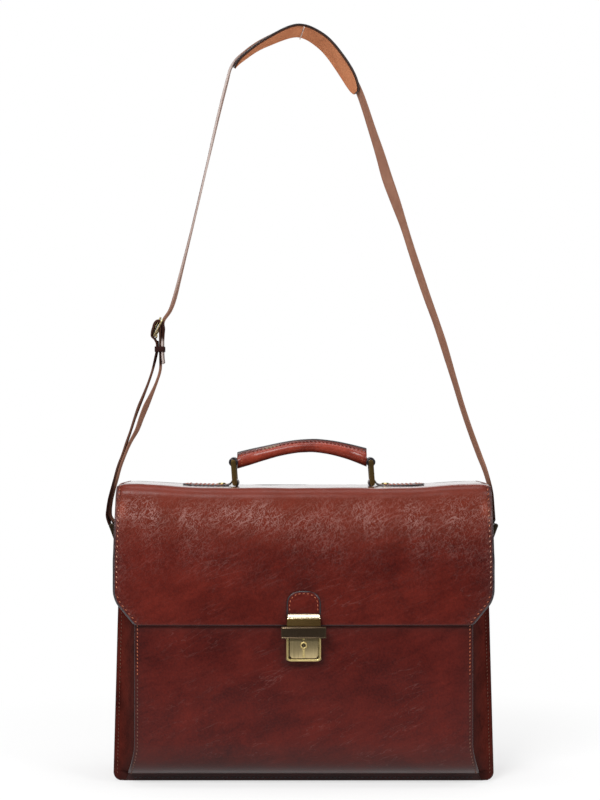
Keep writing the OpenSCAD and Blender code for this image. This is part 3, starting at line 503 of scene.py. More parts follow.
def make_hide_group():
    """Burnished leather: brushed dye, grain, wrinkles and scuffs, darker near worked edges and where shade is painted,
    with painted highlights on the wrinkle lines and a painted sheen.
    """
    tree, given, result = new_group(
        "BurnishedHide",
        colours=(("Deep", (0.08, 0.01, 0.008)), ("Warm", (0.2, 0.03, 0.015)), ("Pale", (0.4, 0.2, 0.16))),
        floats=(("Mottle", 14.0), ("Scuff", 0.5), ("Grain", 1.0), ("Smooth", 0.27), ("Rough", 0.42)),
        outs=("Colour", "Roughness", "Height", "Shine"))
    at = add_node(tree, "ShaderNodeTexCoord").outputs["Object"]
    burnish_and_shade = add_node(tree, "ShaderNodeAttribute", attribute_name="burnish_and_shade").outputs["Fac"]
    creases_and_glint = add_node(tree, "ShaderNodeAttribute", attribute_name="creases_and_glint").outputs["Fac"]
    cloud = noise(tree, at, given.outputs["Mottle"], 4.0, 0.55, 0.8)
    brushed = noise(tree, stretched(tree, at, 22, 2.6), 62.0, 4.0, 0.62, 0.5)
    fleck = noise(tree, at, 430.0, 3.0, 0.62)
    share = reckon(tree, "ADD", reckon(tree, "MULTIPLY", cloud, 0.36), reckon(tree, "MULTIPLY", brushed, 0.34))
    share = reckon(tree, "ADD", share, reckon(tree, "MULTIPLY", fleck, 0.3))
    dye = blend_colours(tree, remap(tree, share, 0.37, 0.63), given.outputs["Deep"], given.outputs["Warm"])
    # long scuffs that rise to the right, in patches
    scuff = ridge(tree, noise(tree, stretched(tree, at, 24, 6.0), 120.0, 3.0, 0.55, 0.6), 0.01)
    patch = remap(tree, noise(tree, at, 16.0, 2.0, 0.5), 0.42, 0.68)
    scuff = reckon(tree, "MULTIPLY", scuff, reckon(tree, "MULTIPLY", patch, given.outputs["Scuff"]))
    # wrinkles, mostly upright, where the leather turns: raised as relief, and drawn in the pale colour as painted
    # highlights on their ridges
    first = ridge(tree, noise(tree, stretched(tree, at, 66, 3.4), 330.0, 2.0, 0.5, 0.4), 0.02)
    second = ridge(tree, noise(tree, stretched(tree, at, 114, 3.2), 360.0, 2.0, 0.5, 0.4), 0.02)
    third = ridge(tree, noise(tree, stretched(tree, at, 32, 3.5), 170.0, 2.0, 0.5, 0.7), 0.022)
    some = remap(tree, noise(tree, at, 45.0, 2.0, 0.5), 0.3, 0.6, 0.62, 0.9)
    wrinkle = reckon(tree, "MAXIMUM", reckon(tree, "MAXIMUM", first, second), third)
    wrinkle = reckon(tree, "MULTIPLY", reckon(tree, "MULTIPLY", wrinkle, some), creases_and_glint)
    lines = reckon(tree, "ADD", reckon(tree, "MULTIPLY", scuff, 0.8), wrinkle, clamp=True)
    # painted sheen: the colour turns lighter and warmer where the leather's mark asks for it
    painted_sheen = add_node(tree, "ShaderNodeAttribute", attribute_name="painted_sheen").outputs["Fac"]
    warm = blend_colours(tree, painted_sheen, dye, (0.225, 0.044, 0.024))
    # the pale colour paints real scuffs, and painted highlights along the wrinkle lines
    toned = blend_colours(tree, reckon(tree, "MULTIPLY", lines, 0.38), warm, given.outputs["Pale"])
    # the dark colour of worked edges and of painted shade, mixed in by the darkening mark
    dark = blend_colours(tree, 1.0, toned, (0.3, 0.3, 0.34), "MULTIPLY")
    dark = blend_colours(tree, 0.35, dark, (0.04, 0.028, 0.026))
    colour = blend_colours(tree, reckon(tree, "MULTIPLY", burnish_and_shade, 0.85, clamp=True), toned, dark)
    tree.links.new(colour, result.inputs["Colour"])
    gloss = add_node(tree, "ShaderNodeMapRange", {"Value": share, "From Min": 0.35, "From Max": 0.65,
                                                  "To Min": given.outputs["Smooth"],
                                                  "To Max": given.outputs["Rough"]}, clamp=True)
    tree.links.new(gloss.outputs["Result"], result.inputs["Roughness"])
    pores = add_node(tree, "ShaderNodeTexVoronoi", {"Vector": at, "Scale": 760.0}, feature="F1").outputs["Distance"]
    grain = reckon(tree, "ADD", reckon(tree, "MULTIPLY", pores, 0.45),
                   reckon(tree, "MULTIPLY", noise(tree, at, 520.0, 3.0, 0.6), 1.1))
    height = reckon(tree, "MULTIPLY", grain, given.outputs["Grain"])
    height = reckon(tree, "ADD", height, reckon(tree, "MULTIPLY", wrinkle, 0.9))
    height = reckon(tree, "ADD", height, reckon(tree, "MULTIPLY", scuff, 0.3))
    tree.links.new(height, result.inputs["Height"])
    polished = add_node(tree, "ShaderNodeAttribute", attribute_name="polished").outputs["Fac"]
    tree.links.new(reckon(tree, "MULTIPLY", polished, 1.0, clamp=True), result.inputs["Shine"])
    return tree


def make_metal_group():
    """Brushed and aged metal: bright and dull colours, fine brush lines, tarnish."""
    tree, given, result = new_group(
        "BrushedAge", colours=(("Bright", (0.6, 0.5, 0.25)), ("Dull", (0.2, 0.16, 0.07))),
        floats=(("Tarnish", 0.5), ("Brush", 0.3), ("Smooth", 0.22), ("Rough", 0.45)),
        outs=("Colour", "Roughness", "Height"))
    at = add_node(tree, "ShaderNodeTexCoord").outputs["Object"]
    lines = noise(tree, stretched(tree, at, 90, 25.0), 1100.0, 2.0, 0.5)
    cloud = noise(tree, at, 75.0, 3.0, 0.5, 0.3)
    speck = noise(tree, at, 700.0, 2.0, 0.6)
    age = reckon(tree, "ADD", reckon(tree, "MULTIPLY", cloud, 0.86), reckon(tree, "MULTIPLY", speck, 0.14))
    age = reckon(tree, "MULTIPLY", remap(tree, age, 0.4, 0.66), given.outputs["Tarnish"])
    streak = reckon(tree, "MULTIPLY", remap(tree, lines, 0.35, 0.65, -0.5, 0.5), given.outputs["Brush"])
    share = reckon(tree, "ADD", age, streak, clamp=True)
    colour = blend_colours(tree, share, given.outputs["Bright"], given.outputs["Dull"])
    tree.links.new(colour, result.inputs["Colour"])
    gloss = add_node(tree, "ShaderNodeMapRange", {"Value": share, "To Min": given.outputs["Smooth"],
                                                  "To Max": given.outputs["Rough"]}, clamp=True)
    tree.links.new(gloss.outputs["Result"], result.inputs["Roughness"])
    tree.links.new(reckon(tree, "ADD", reckon(tree, "MULTIPLY", lines, given.outputs["Brush"]),
                          reckon(tree, "MULTIPLY", age, 0.4)), result.inputs["Height"])
    return tree


def make_fibre_group():
    """Fibres: waxed thread, suede nap, board and woven lining, by their scale and stretch; darker at worked edges and
    under painted shade, and paler under a painted sheen where marked.
    """
    tree, given, result = new_group(
        "Fibre", colours=(("Light", (0.5, 0.3, 0.15)), ("Dark", (0.25, 0.12, 0.06)), ("Pale", (0.7, 0.6, 0.55))),
        floats=(("Size", 400.0), ("Weave", 0.0), ("Mottle", 30.0)),
        outs=("Colour", "Height"))
    at = add_node(tree, "ShaderNodeTexCoord").outputs["Object"]
    burnish_and_shade = add_node(tree, "ShaderNodeAttribute", attribute_name="burnish_and_shade").outputs["Fac"]
    nap = noise(tree, at, given.outputs["Size"], 3.0, 0.65, 0.4)
    cloud = noise(tree, at, given.outputs["Mottle"], 4.0, 0.6, 0.5)
    warp = add_node(tree, "ShaderNodeTexWave", {"Vector": at, "Scale": 260.0}, bands_direction="X").outputs["Fac"]
    weft = add_node(tree, "ShaderNodeTexWave", {"Vector": at, "Scale": 260.0}, bands_direction="Z").outputs["Fac"]
    cloth = reckon(tree, "MULTIPLY", reckon(tree, "MULTIPLY", warp, weft), given.outputs["Weave"])
    share = reckon(tree, "ADD", reckon(tree, "MULTIPLY", nap, 0.1), reckon(tree, "MULTIPLY", cloud, 0.9))
    share = reckon(tree, "ADD", remap(tree, share, 0.3, 0.7), reckon(tree, "MULTIPLY", cloth, 0.5), clamp=True)
    colour = blend_colours(tree, share, given.outputs["Light"], given.outputs["Dark"])
    dark = blend_colours(tree, 1.0, colour, (0.1, 0.08, 0.09), "MULTIPLY")
    colour = blend_colours(tree, reckon(tree, "MULTIPLY", burnish_and_shade, 0.9, clamp=True), colour, dark)
    # painted sheen: the pale colour where the strap's mark asks for it
    pale_sheen = add_node(tree, "ShaderNodeAttribute", attribute_name="pale_sheen").outputs["Fac"]
    colour = blend_colours(tree, pale_sheen, colour, given.outputs["Pale"])
    tree.links.new(colour, result.inputs["Colour"])
    tree.links.new(reckon(tree, "ADD", nap, cloth), result.inputs["Height"])
    return tree


GROUPS = {}
LOOKS = {}


def finish_with(name, group, values, roughness=None, metallic=0.0, coat=0.0, coat_rough=0.2,
                bump=0.3, deep=0.0004, sheen=0.0, specular=0.5, shine=False):
    """A material whose group gives the colour, gloss and relief."""
    look = bpy.data.materials.new(name)
    look.use_nodes = True
    tree = look.node_tree
    shader = tree.nodes["Principled BSDF"]
    made = tree.nodes.new("ShaderNodeGroup")
    made.node_tree = GROUPS[group]
    for key, value in values.items():
        made.inputs[key].default_value = value if isinstance(value, float) else rgba(value)
    tree.links.new(made.outputs["Colour"], shader.inputs["Base Color"])
    if roughness is None:
        tree.links.new(made.outputs["Roughness"], shader.inputs["Roughness"])
    else:
        shader.inputs["Roughness"].default_value = roughness
    relief = add_node(tree, "ShaderNodeBump", {"Height": made.outputs["Height"], "Strength": bump,
                                               "Distance": deep})
    tree.links.new(relief.outputs["Normal"], shader.inputs["Normal"])
    shader.inputs["Metallic"].default_value = metallic
    if shine:
        tree.links.new(made.outputs["Shine"], shader.inputs["Coat Weight"])
    else:
        shader.inputs["Coat Weight"].default_value = coat
    shader.inputs["Coat Roughness"].default_value = coat_rough
    shader.inputs["Sheen Weight"].default_value = sheen
    shader.inputs["Specular IOR Level"].default_value = specular
    look.diffuse_color = rgba(list(values.values())[0])
    LOOKS[name] = look
    return look


def make_looks(dyes):
    """All finishes of the briefcase, from its colours."""
    GROUPS.update(hide=make_hide_group(), metal=make_metal_group(), fibre=make_fibre_group())
    pale = tuple(dyes.scuff_and_glint)
    finish_with("hide", "hide", {"Deep": tuple(dyes.hide_deep), "Warm": tuple(dyes.hide_warm), "Pale": pale,
                                 "Mottle": 13.0, "Scuff": 0.24, "Smooth": 0.3, "Rough": 0.42}, bump=0.3, specular=0.2)
    finish_with("flap_hide", "hide", {"Deep": tuple(dyes.flap_deep), "Warm": tuple(dyes.flap_warm), "Pale": pale,
                                      "Mottle": 12.0, "Scuff": 0.22, "Smooth": 0.28, "Rough": 0.4}, bump=0.3, specular=0.2,
                coat_rough=0.16, shine=True)
    finish_with("grip_hide", "hide", {"Deep": tuple(dyes.grip_deep), "Warm": tuple(dyes.grip_warm), "Pale": pale,
                                      "Mottle": 22.0, "Scuff": 0.1, "Grain": 0.5, "Smooth": 0.26, "Rough": 0.36},
                bump=0.1, specular=0.3, coat=0.3, coat_rough=0.34)
    finish_with("dark_hide", "hide", {"Deep": tuple(dyes.dark_deep), "Warm": tuple(dyes.dark_warm), "Pale": pale,
                                      "Mottle": 18.0, "Scuff": 0.2, "Smooth": 0.38, "Rough": 0.52}, bump=0.25,
                specular=0.05)
    finish_with("strap_hide", "hide", {"Deep": tuple(dyes.dark_deep), "Warm": tuple(dyes.dark_warm), "Pale": pale,
                                       "Mottle": 18.0, "Scuff": 0.1}, roughness=0.7, bump=0.1, specular=0.0)
    finish_with("edge_paint", "hide", {"Deep": tuple(dyes.edge), "Warm": tuple(dyes.edge_worn), "Pale": pale,
                                       "Mottle": 60.0, "Scuff": 0.0, "Grain": 0.5, "Smooth": 0.24, "Rough": 0.36},
                bump=0.2)
    finish_with("strap_edge", "fibre", {"Light": tuple(dyes.strap_rim), "Dark": tuple(dyes.strap_dark),
                                        "Pale": tuple(dyes.strap_pale), "Size": 1400.0, "Mottle": 60.0},
                roughness=0.7, bump=0.1, specular=0.0)
    finish_with("flesh", "fibre", {"Light": tuple(dyes.flesh), "Dark": tuple(dyes.flesh_dark), "Size": 500.0,
                                   "Mottle": 40.0}, roughness=0.85, bump=0.4, sheen=0.1, specular=0.3)
    finish_with("strap_flesh", "fibre", {"Light": tuple(dyes.strap_light), "Dark": tuple(dyes.strap_dark),
                                         "Pale": tuple(dyes.strap_pale), "Size": 1400.0, "Mottle": 40.0},
                roughness=0.8, bump=0.1, specular=0.0)
    finish_with("pad_flesh", "fibre", {"Light": tuple(dyes.pad_light), "Dark": tuple(dyes.pad_dark),
                                       "Size": 1400.0, "Mottle": 34.0},
                roughness=0.7, bump=0.02, specular=0.0)
    finish_with("lining", "fibre", {"Light": tuple(dyes.lining), "Dark": tuple(dyes.lining_dark), "Size": 700.0,
                                    "Mottle": 12.0, "Weave": 0.8}, roughness=0.9, bump=0.4, specular=0.2)
    finish_with("board", "fibre", {"Light": tuple(dyes.board), "Dark": tuple(dyes.board_dark), "Size": 300.0,
                                   "Mottle": 60.0}, roughness=0.9, bump=0.3, specular=0.2)
    finish_with("thread", "fibre", {"Light": tuple(dyes.thread), "Dark": tuple(dyes.thread_dark), "Size": 900.0,
                                    "Mottle": 130.0}, roughness=0.6, bump=0.3, deep=0.0002)
    finish_with("dull_thread", "fibre", {"Light": tuple(dyes.dull_thread), "Dark": tuple(dyes.flap_deep),
                                         "Size": 900.0, "Mottle": 130.0}, roughness=0.65, bump=0.3, deep=0.0002)
    finish_with("dark_thread", "fibre", {"Light": tuple(dyes.edge_worn), "Dark": tuple(dyes.edge),
                                         "Size": 900.0, "Mottle": 130.0}, roughness=0.65, bump=0.3, deep=0.0002)
    finish_with("red_thread", "fibre", {"Light": tuple(dyes.red_thread), "Dark": tuple(dyes.flap_deep),
                                        "Size": 900.0, "Mottle": 130.0}, roughness=0.6, bump=0.3, deep=0.0002)
    finish_with("seam_cord", "fibre", {"Light": tuple(dyes.seam_cord), "Dark": tuple(dyes.strap_pale),
                                       "Size": 900.0, "Mottle": 90.0}, roughness=0.6, bump=0.2, deep=0.0002)
    finish_with("pale_thread", "fibre", {"Light": tuple(dyes.pale_thread), "Dark": tuple(dyes.thread),
                                         "Size": 900.0, "Mottle": 90.0}, roughness=0.65, bump=0.3, deep=0.0002)
    finish_with("brass", "metal", {"Bright": tuple(dyes.brass), "Dull": tuple(dyes.brass_dull), "Tarnish": 0.22,
                                   "Brush": 0.05, "Smooth": 0.3, "Rough": 0.4}, metallic=1.0, bump=0.0,
                deep=0.0001)
    # a painted highlight: the bright brass of the hasp bevel's upward faces
    finish_with("bright_brass", "metal", {"Bright": tuple(dyes.brass_highlight), "Dull": tuple(dyes.brass), "Tarnish": 0.2,
                                          "Brush": 0.1, "Smooth": 0.2, "Rough": 0.3}, metallic=1.0, bump=0.01,
                deep=0.0001)
    finish_with("face_brass", "metal", {"Bright": tuple(dyes.face), "Dull": tuple(dyes.brass_dull),
                                        "Tarnish": 0.3, "Brush": 0.35, "Smooth": 0.32, "Rough": 0.48},
                metallic=1.0, bump=0.03, deep=0.0001)
    finish_with("ridge_brass", "metal", {"Bright": tuple(dyes.brass), "Dull": tuple(dyes.face),
                                         "Tarnish": 0.3, "Brush": 0.1, "Smooth": 0.5, "Rough": 0.6},
                metallic=1.0, bump=0.0, deep=0.0001)
    finish_with("olive_brass", "metal", {"Bright": tuple(dyes.olive), "Dull": tuple(dyes.brass_dull),
                                         "Tarnish": 0.7, "Brush": 0.15, "Smooth": 0.3, "Rough": 0.44},
                metallic=1.0, bump=0.02, deep=0.0001)
    finish_with("bronze", "metal", {"Bright": tuple(dyes.bronze), "Dull": tuple(dyes.bronze_dark),
                                    "Tarnish": 0.6, "Brush": 0.2, "Smooth": 0.28, "Rough": 0.42},
                metallic=1.0, bump=0.02, deep=0.0001)


# ---------------------------------------------------------------- the case's leather

def flap_rise(x, y):
    """How far the flap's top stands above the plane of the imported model: high at both ends, lower behind."""
    return -0.5 + 4.2 * ease(np.abs(x), 95, 196) - 1.3 * np.asarray(y) / 60


def wrapped(path, hw, step, lift=None, thickness=HIDE_T, inset=0.0, rim=None):
    """Face and back grids of a sheet that follows a side profile and spreads across X."""
    base_rim, middle = columns(step)
    rim = base_rim if rim is None else np.array(rim, float)
    x, from_edge = spread_columns(np.asarray(hw) - inset, rim, middle)
    n = outward(path)
    yz = np.repeat(path[:, None, :], x.shape[1], 1)
    up = np.zeros_like(x) if lift is None else lift(x, yz[..., 0], yz[..., 1], from_edge)
    face = np.stack([x, yz[..., 0] + n[:, None, 0] * up, yz[..., 1] + n[:, None, 1] * up], 2)
    back = face - np.stack([np.zeros_like(x), np.broadcast_to(n[:, None, 0] * thickness, x.shape),
                            np.broadcast_to(n[:, None, 1] * thickness, x.shape)], 2)
    return face, back, x, from_edge, n


def groove(from_edge, at, run, pitch, depth=0.3):
    """A sewn channel beside an edge, drawn in at each stitch."""
    pull = 0.7 + 0.3 * np.cos(2 * np.pi * np.asarray(run) / pitch)
    return -depth * np.exp(-((from_edge - at) / 0.8) ** 2) * (pull[:, None] if np.ndim(pull) == 1 else pull)


def row_normals(path):
    n = outward(path)
    return np.stack([np.zeros(len(n)), n[:, 0], n[:, 1]], 1)


def make_front(work):
    """The front panel, which turns under to the sewn edge, with its two side seams and its bottom seam."""
    turn = arc2((TURN_Y, TURN_Z), TURN_R, 180, 270, 40)
    foot = smooth_route([(-24.6, 9.0), (-23.0, 8.5), (-22.15, 7.2), (-22.0, 5.4), (-22.0, 0.25)], 5)
    line = np.concatenate([[(FRONT_Y, POCKET_H)], turn, foot])
    path, run = walk(line, 1.25)
    hw = pocket_edge(path[:, 1])
    pitch = work.side_pitch / MM

    def lift(x, y, z, from_edge):
        soft = 0.45 * (1 - (x / POCKET_HW) ** 2) * ease(z, 20, 60) * ease(-z, -150, -120)
        uneven = ripple(x, z, 11, 75, 0.22) * ease(from_edge, 4, 26) * ease(z, 12, 40)
        return groove(from_edge, 2.9, run, pitch) - 0.35 * np.exp(-(from_edge / 1.2) ** 2) + soft + uneven

    face, back, x, from_edge, n = wrapped(path, hw, 3.2, lift)
    # painted shade: darker towards the bottom where the panel turns under (low), in a halo round the lock (lock), and
    # painted shadow in a band along the flap's lower edge (under); the terms from the edges and at the stitch holes are
    # burnish
    low = (0.45 * ease(-path[:, 1], -62, -22) + 0.55 * ease(-path[:, 1], -30, -9))[:, None]
    lock = np.hypot(np.maximum(np.abs(x) - 18.8, 0), np.maximum(np.abs(path[:, 1:2] - 153) - 18, 0))
    under = np.exp(-np.abs(FLAP_LOW - path[:, 1:2]) / 4.5)
    burnish_and_shade = 0.5 * np.exp(-from_edge / 2.2) + 0.25 * np.exp(-from_edge / 9) + 0.85 * low
    burnish_and_shade = burnish_and_shade + 0.7 * np.exp(-lock / 4.5) + 0.85 * under
    burnish_and_shade = burnish_and_shade + 0.6 * np.exp(-((from_edge - 2.9) / 0.7) ** 2) * (0.5 - 0.5 * np.cos(2 * np.pi * run / pitch))[:, None]
    burnish_and_shade = np.clip(burnish_and_shade, 0, 1)
    piece = sheet("front_hide", face, back, [LOOKS["hide"], LOOKS["edge_paint"], LOOKS["flesh"]],
                  {"burnish_and_shade": burnish_and_shade, "creases_and_glint": 0 * burnish_and_shade})
    place(piece, "case", ["front_panel"])
    sewing = Bundle()
    normals = row_normals(path)
    for side in (-1, 1):
        keep = path[:, 1] > 6
        line = np.stack([side * (hw - 2.9), path[:, 0], path[:, 1]], 1) - normals * 0.12
        high = keep & (path[:, 1] > 118)
        keep = keep & (path[:, 1] <= 118)
        for part, look in ((high, 0), (keep, 1)):
            stitches(sewing, line[part], normals[part], pitch, length=2.3, width=1.0, rise=0.42,
                     slant=-16 * side, look=look)
    xs = np.linspace(-186, 186, 400)
    line = np.stack([xs, np.full_like(xs, -22.1), np.full_like(xs, 3.3)], 1)
    stitches(sewing, line, np.tile([0.0, -1.0, 0.0], (len(xs), 1)), work.bottom_pitch / MM, length=3.2, look=2)
    place(sewing.piece("front_sewing", [LOOKS["thread"], LOOKS["dull_thread"], LOOKS["dark_thread"]]), "case")


def make_bevels(work):
    """The strips between the front panel and the sewn edges."""
    ri = TURN_R - HIDE_T
    a = np.radians(np.linspace(0, 83, 34))
    turn = np.stack([TURN_Y - ri * np.cos(a), TURN_Z - ri * np.sin(a)], 1)
    foot = np.stack([np.full(8, SEAM_Y - HIDE_T - 0.6), np.linspace(turn[-1][1] - 1.4, 0.35, 8)], 1)
    inner, run = walk(np.concatenate([[(FRONT_Y + HIDE_T, POCKET_H)], turn]), 1.5)
    inner = np.concatenate([inner, foot])
    z = inner[:, 1]
    on_foot = (np.arange(len(z)) >= len(z) - 8)[:, None]
    lap = np.where(on_foot[:, 0], 0.4, 7.0)
    in_y = inner[:, 0]
    edge_x, out_x = pocket_edge(z), panel_edge(z)
    flat_x = np.minimum(half_w(z) - 5.0, out_x - 1.5)
    shares = np.concatenate([[-1.0], np.linspace(0, 1, 16)])
    bow = 1.1 * np.sin(np.pi * np.clip(shares, 0, 1))
    rows = []
    for k in range(len(z)):
        across = np.array([flat_x[k] - edge_x[k], SEAM_Y - HIDE_T - in_y[k]])
        normal = np.array([across[1], -across[0]])
        normal = normal / max(np.linalg.norm(normal), 1e-6)
        fade = min(np.linalg.norm(across) / 40, 1.0)
        x = edge_x[k] + shares * across[0]
        y = in_y[k] + shares * across[1]
        x[0], y[0] = edge_x[k] - lap[k], in_y[k]
        x = x - normal[0] * bow * fade
        y = y - normal[1] * bow * fade
        flange = np.linspace(flat_x[k], out_x[k], 7)[1:]
        rows.append(np.stack([np.concatenate([x, flange]),
                              np.concatenate([y, np.full(6, SEAM_Y - HIDE_T)]),
                              np.full(len(x) + 6, z[k])], 1))
    face = np.array(rows)
    du, dv = np.gradient(face, axis=0), np.gradient(face, axis=1)
    normal = unit(np.cross(du, dv))
    normal = normal * np.sign(-normal[..., 1:2] + 1e-9)
    face = face + normal * (ripple(face[..., 2], face[..., 1], 5, 60, 0.18) * 1.0)[..., None]
    back = face - normal * GUSSET_T
    back[..., 1] = np.minimum(back[..., 1], SEAM_Y)
    # painted shade: darkest where the strip meets the front panel and fading across the strip, and darker towards the
    # bottom; the flange darkens towards its sewn edge as burnish
    depth = np.concatenate([[1.3], 0.3 + 1.0 * np.linspace(1, 0, 16) ** 1.3, 0.25 + 0.4 * np.linspace(0, 1, 7)[1:] ** 2])
    burnish_and_shade = np.clip(np.tile(depth, (len(z), 1)) + 0.6 * ease(-z, -40, -5)[:, None], 0, 1.3)
    for side, name in ((1, "right"), (-1, "left")):
        flip = np.array([side, 1, 1])
        piece = sheet("bevel_hide_" + name, face * flip, back * flip,
                      [LOOKS["strap_hide"], LOOKS["edge_paint"], LOOKS["flesh"]],
                      {"burnish_and_shade": 0.72 * burnish_and_shade, "creases_and_glint": 0 * burnish_and_shade})
        place(piece, "case", ["bevel_" + name])
        sewing = Bundle()
        keep = z > 7
        line = np.stack([side * (out_x - 3.9), np.full_like(z, SEAM_Y - HIDE_T - 0.05), z], 1)[keep]
        stitches(sewing, line, np.tile([0.0, -1.0, 0.0], (len(line), 1)), work.side_pitch / MM,
                 length=2.3, width=0.8, rise=0.34, slant=-14 * side)
        place(sewing.piece("bevel_sewing_" + name, [LOOKS["dull_thread"]]), "case")


def upright(name, y, thick, z_top, inset, looks, body, swaps, front=True, z_low=0.2, seed=3, bow=0.0):
    """A flat upright panel with round bottom corners."""
    rim, middle = columns(6.0)
    z = np.concatenate([np.linspace(z_top, 14, max(int(z_top / 5), 6)), np.linspace(12.6, 2.2, 12),
                        [1.4, 0.8, 0.4, 0.1]])
    z = z[z > z_low - 1e-6]
    hw = panel_edge(z - z_low if inset else z) - inset
    x, from_edge = spread_columns(hw, rim, middle)
    zz = np.repeat(z[:, None], x.shape[1], 1)
    uneven = ripple(x, zz, seed, 80, 0.15) * ease(from_edge, 4, 25) + bow * (1 - (x / CASE_W * 2) ** 2) * ease(zz, 0, 90)
    sign = -1 if front else 1
    face = np.stack([x, y + sign * uneven, zz], 2)
    back = np.stack([x, np.full_like(x, y - sign * thick), zz], 2)
    burnish_and_shade = np.exp(-from_edge / 3.0) * 0.8
    piece = sheet(name, face, back, looks, {"burnish_and_shade": burnish_and_shade, "creases_and_glint": 0 * burnish_and_shade})
    return place(piece, body, swaps), z, hw


def make_panels(work):
    """The divider and the back panel, with the edge seams of the back."""
    looks = [LOOKS["dark_hide"], LOOKS["edge_paint"], LOOKS["flesh"]]
    upright("divider_hide", SEAM_Y + 0.05, HIDE_T, DIVIDER_H, 0.0, looks, "case", ["divider_panel"])
    looks = [LOOKS["hide"], LOOKS["edge_paint"], LOOKS["flesh"]]
    _, z, hw = upright("back_hide", BACK_Y, HIDE_T - 0.1, 309.5, 0.0, looks, "case", ["back_panel"],
                       front=False, seed=8, bow=0.8)
    sewing = Bundle()
    for side in (-1, 1):
        keep = z > 7
        line = np.stack([side * (hw - 3.4), np.full_like(z, BACK_Y + 0.05), z], 1)[keep]
        line = walk(line, 1.0)[0]
        stitches(sewing, line, np.tile([0.0, 1.0, 0.0], (len(line), 1)), work.side_pitch / MM, length=2.7,
                 width=0.8)
    xs = np.linspace(-190, 190, 300)
    line = np.stack([xs, np.full_like(xs, BACK_Y + 0.05), np.full_like(xs, 4.0)], 1)
    stitches(sewing, line, np.tile([0.0, 1.0, 0.0], (len(xs), 1)), work.bottom_pitch / MM, look=1)
    place(sewing.piece("back_sewing", [LOOKS["thread"], LOOKS["red_thread"]]), "case")


def make_gussets(work):
    """The folding sides: soft leather drawn in towards the middle, and the base between them."""
    base = [(0.0, -18.0), (-2.5, -18.0), (-5.0, -17.9), (-6.2, -16.5), (-6.6, -12.0), (-10.6, -1.0),
            (-13.9, 9.0), (-12.4, 18.0), (-8.6, 28.0), (-6.2, 36.0), (-6.0, 46.0), (-6.0, 55.0),
            (-5.9, 57.6), (-5.0, 59.6), (-2.5, 60.0), (0.0, 60.0)]
    path = smooth_route(base, 6)
    t = unit(np.gradient(path, axis=0))
    n = np.stack([t[:, 1], -t[:, 0]], 1)
    z = np.concatenate([np.linspace(DIVIDER_H, 16, 70), np.linspace(14, 2.1, 14)])
    x = panel_edge(z)[:, None] + path[None, :, 0]
    y = np.repeat(path[None, :, 1], len(z), 0)
    zz = np.repeat(z[:, None], x.shape[1], 1)
    free = ease(path[:, 1], -14, -4) * ease(-path[:, 1], -36, -26)
    soft = ripple(zz, y, 21, 70, 0.5) * free[None, :]
    x = x - soft
    inside = np.stack([x, y, zz], 2)
    outside = inside + np.stack([n[:, 0], n[:, 1], 0 * n[:, 0]], 1)[None] * GUSSET_T
    # painted shade in the gusset's inward fold
    fold = np.exp(-((path[:, 1] - 10) / 12) ** 2)
    burnish_and_shade = np.tile(0.5 * fold, (len(z), 1))
    looks = [LOOKS["dark_hide"], LOOKS["edge_paint"], LOOKS["flesh"]]
    for side, name in ((1, "right"), (-1, "left")):
        flip = np.array([side, 1, 1])
        piece = sheet("gusset_hide_" + name, outside * flip, inside * flip, looks,
                      {"burnish_and_shade": burnish_and_shade, "creases_and_glint": 0 * burnish_and_shade})
        place(piece, "case", ["gusset_" + name])
    rim, middle = columns(8.0)
    y = np.linspace(GUSSET_FRONT + 0.1, GUSSET_BACK - 0.1, 24)
    x, from_edge = spread_columns(np.full(len(y), 196.2), rim, middle)
    yy = np.repeat(y[:, None], x.shape[1], 1)
    low = np.stack([x, yy, 0.1 + 0 * x], 2)
    piece = sheet("base_hide", low, low + np.array([0, 0, 1.8]), looks,
                  {"burnish_and_shade": np.exp(-from_edge / 5), "creases_and_glint": 0 * x})
    place(piece, "case", ["bottom_panel"])


# ---------------------------------------------------------------- the flap

FLAP_EDGE = np.array([(197.5, 330.0), (197.5, 318.5), (201.0, 241.7), (201.0, 209.7), (200.6, 205.6),
                      (199.5, 201.7), (198.2, 198.4), (196.2, 194.7), (179.9, 174.9), (179.0, 174.0),
                      (177.3, 173.7)])


def flap_hw(z):
    return np.interp(z, FLAP_EDGE[::-1, 1], FLAP_EDGE[::-1, 0])


def flap_path(offset=0.0, y_rear=54.0, low=FLAP_LOW, spacing=1.5):
    """The side profile of the flap, from its rear over the front edge to its lower edge."""
    r = FLAP_R - offset
    turn = arc2((DROP_Y + FLAP_R, CASE_H - FLAP_R), r, 90, 180, 24)
    line = np.concatenate([[(y_rear, CASE_H - offset)], turn, [(DROP_Y + offset, low)]])
    return walk(line, spacing)


def flap_lift(x, y, z, from_edge):
    """The flap's unevenness, along its normals."""
    uneven = ripple(x, z - y, 31, 95, 0.32) + ripple(x, z - y, 32, 38, 0.12)
    return uneven * ease(from_edge, 3, 30)


def seat_on_top(face, path):
    """Raises the top of the flap's grids to the height that its leather takes."""
    z = path[:, 1][:, None]
    share = ease(z, 236, 304)
    face[..., 2] += flap_rise(face[..., 0], np.minimum(face[..., 1], 60)) * share
    return face


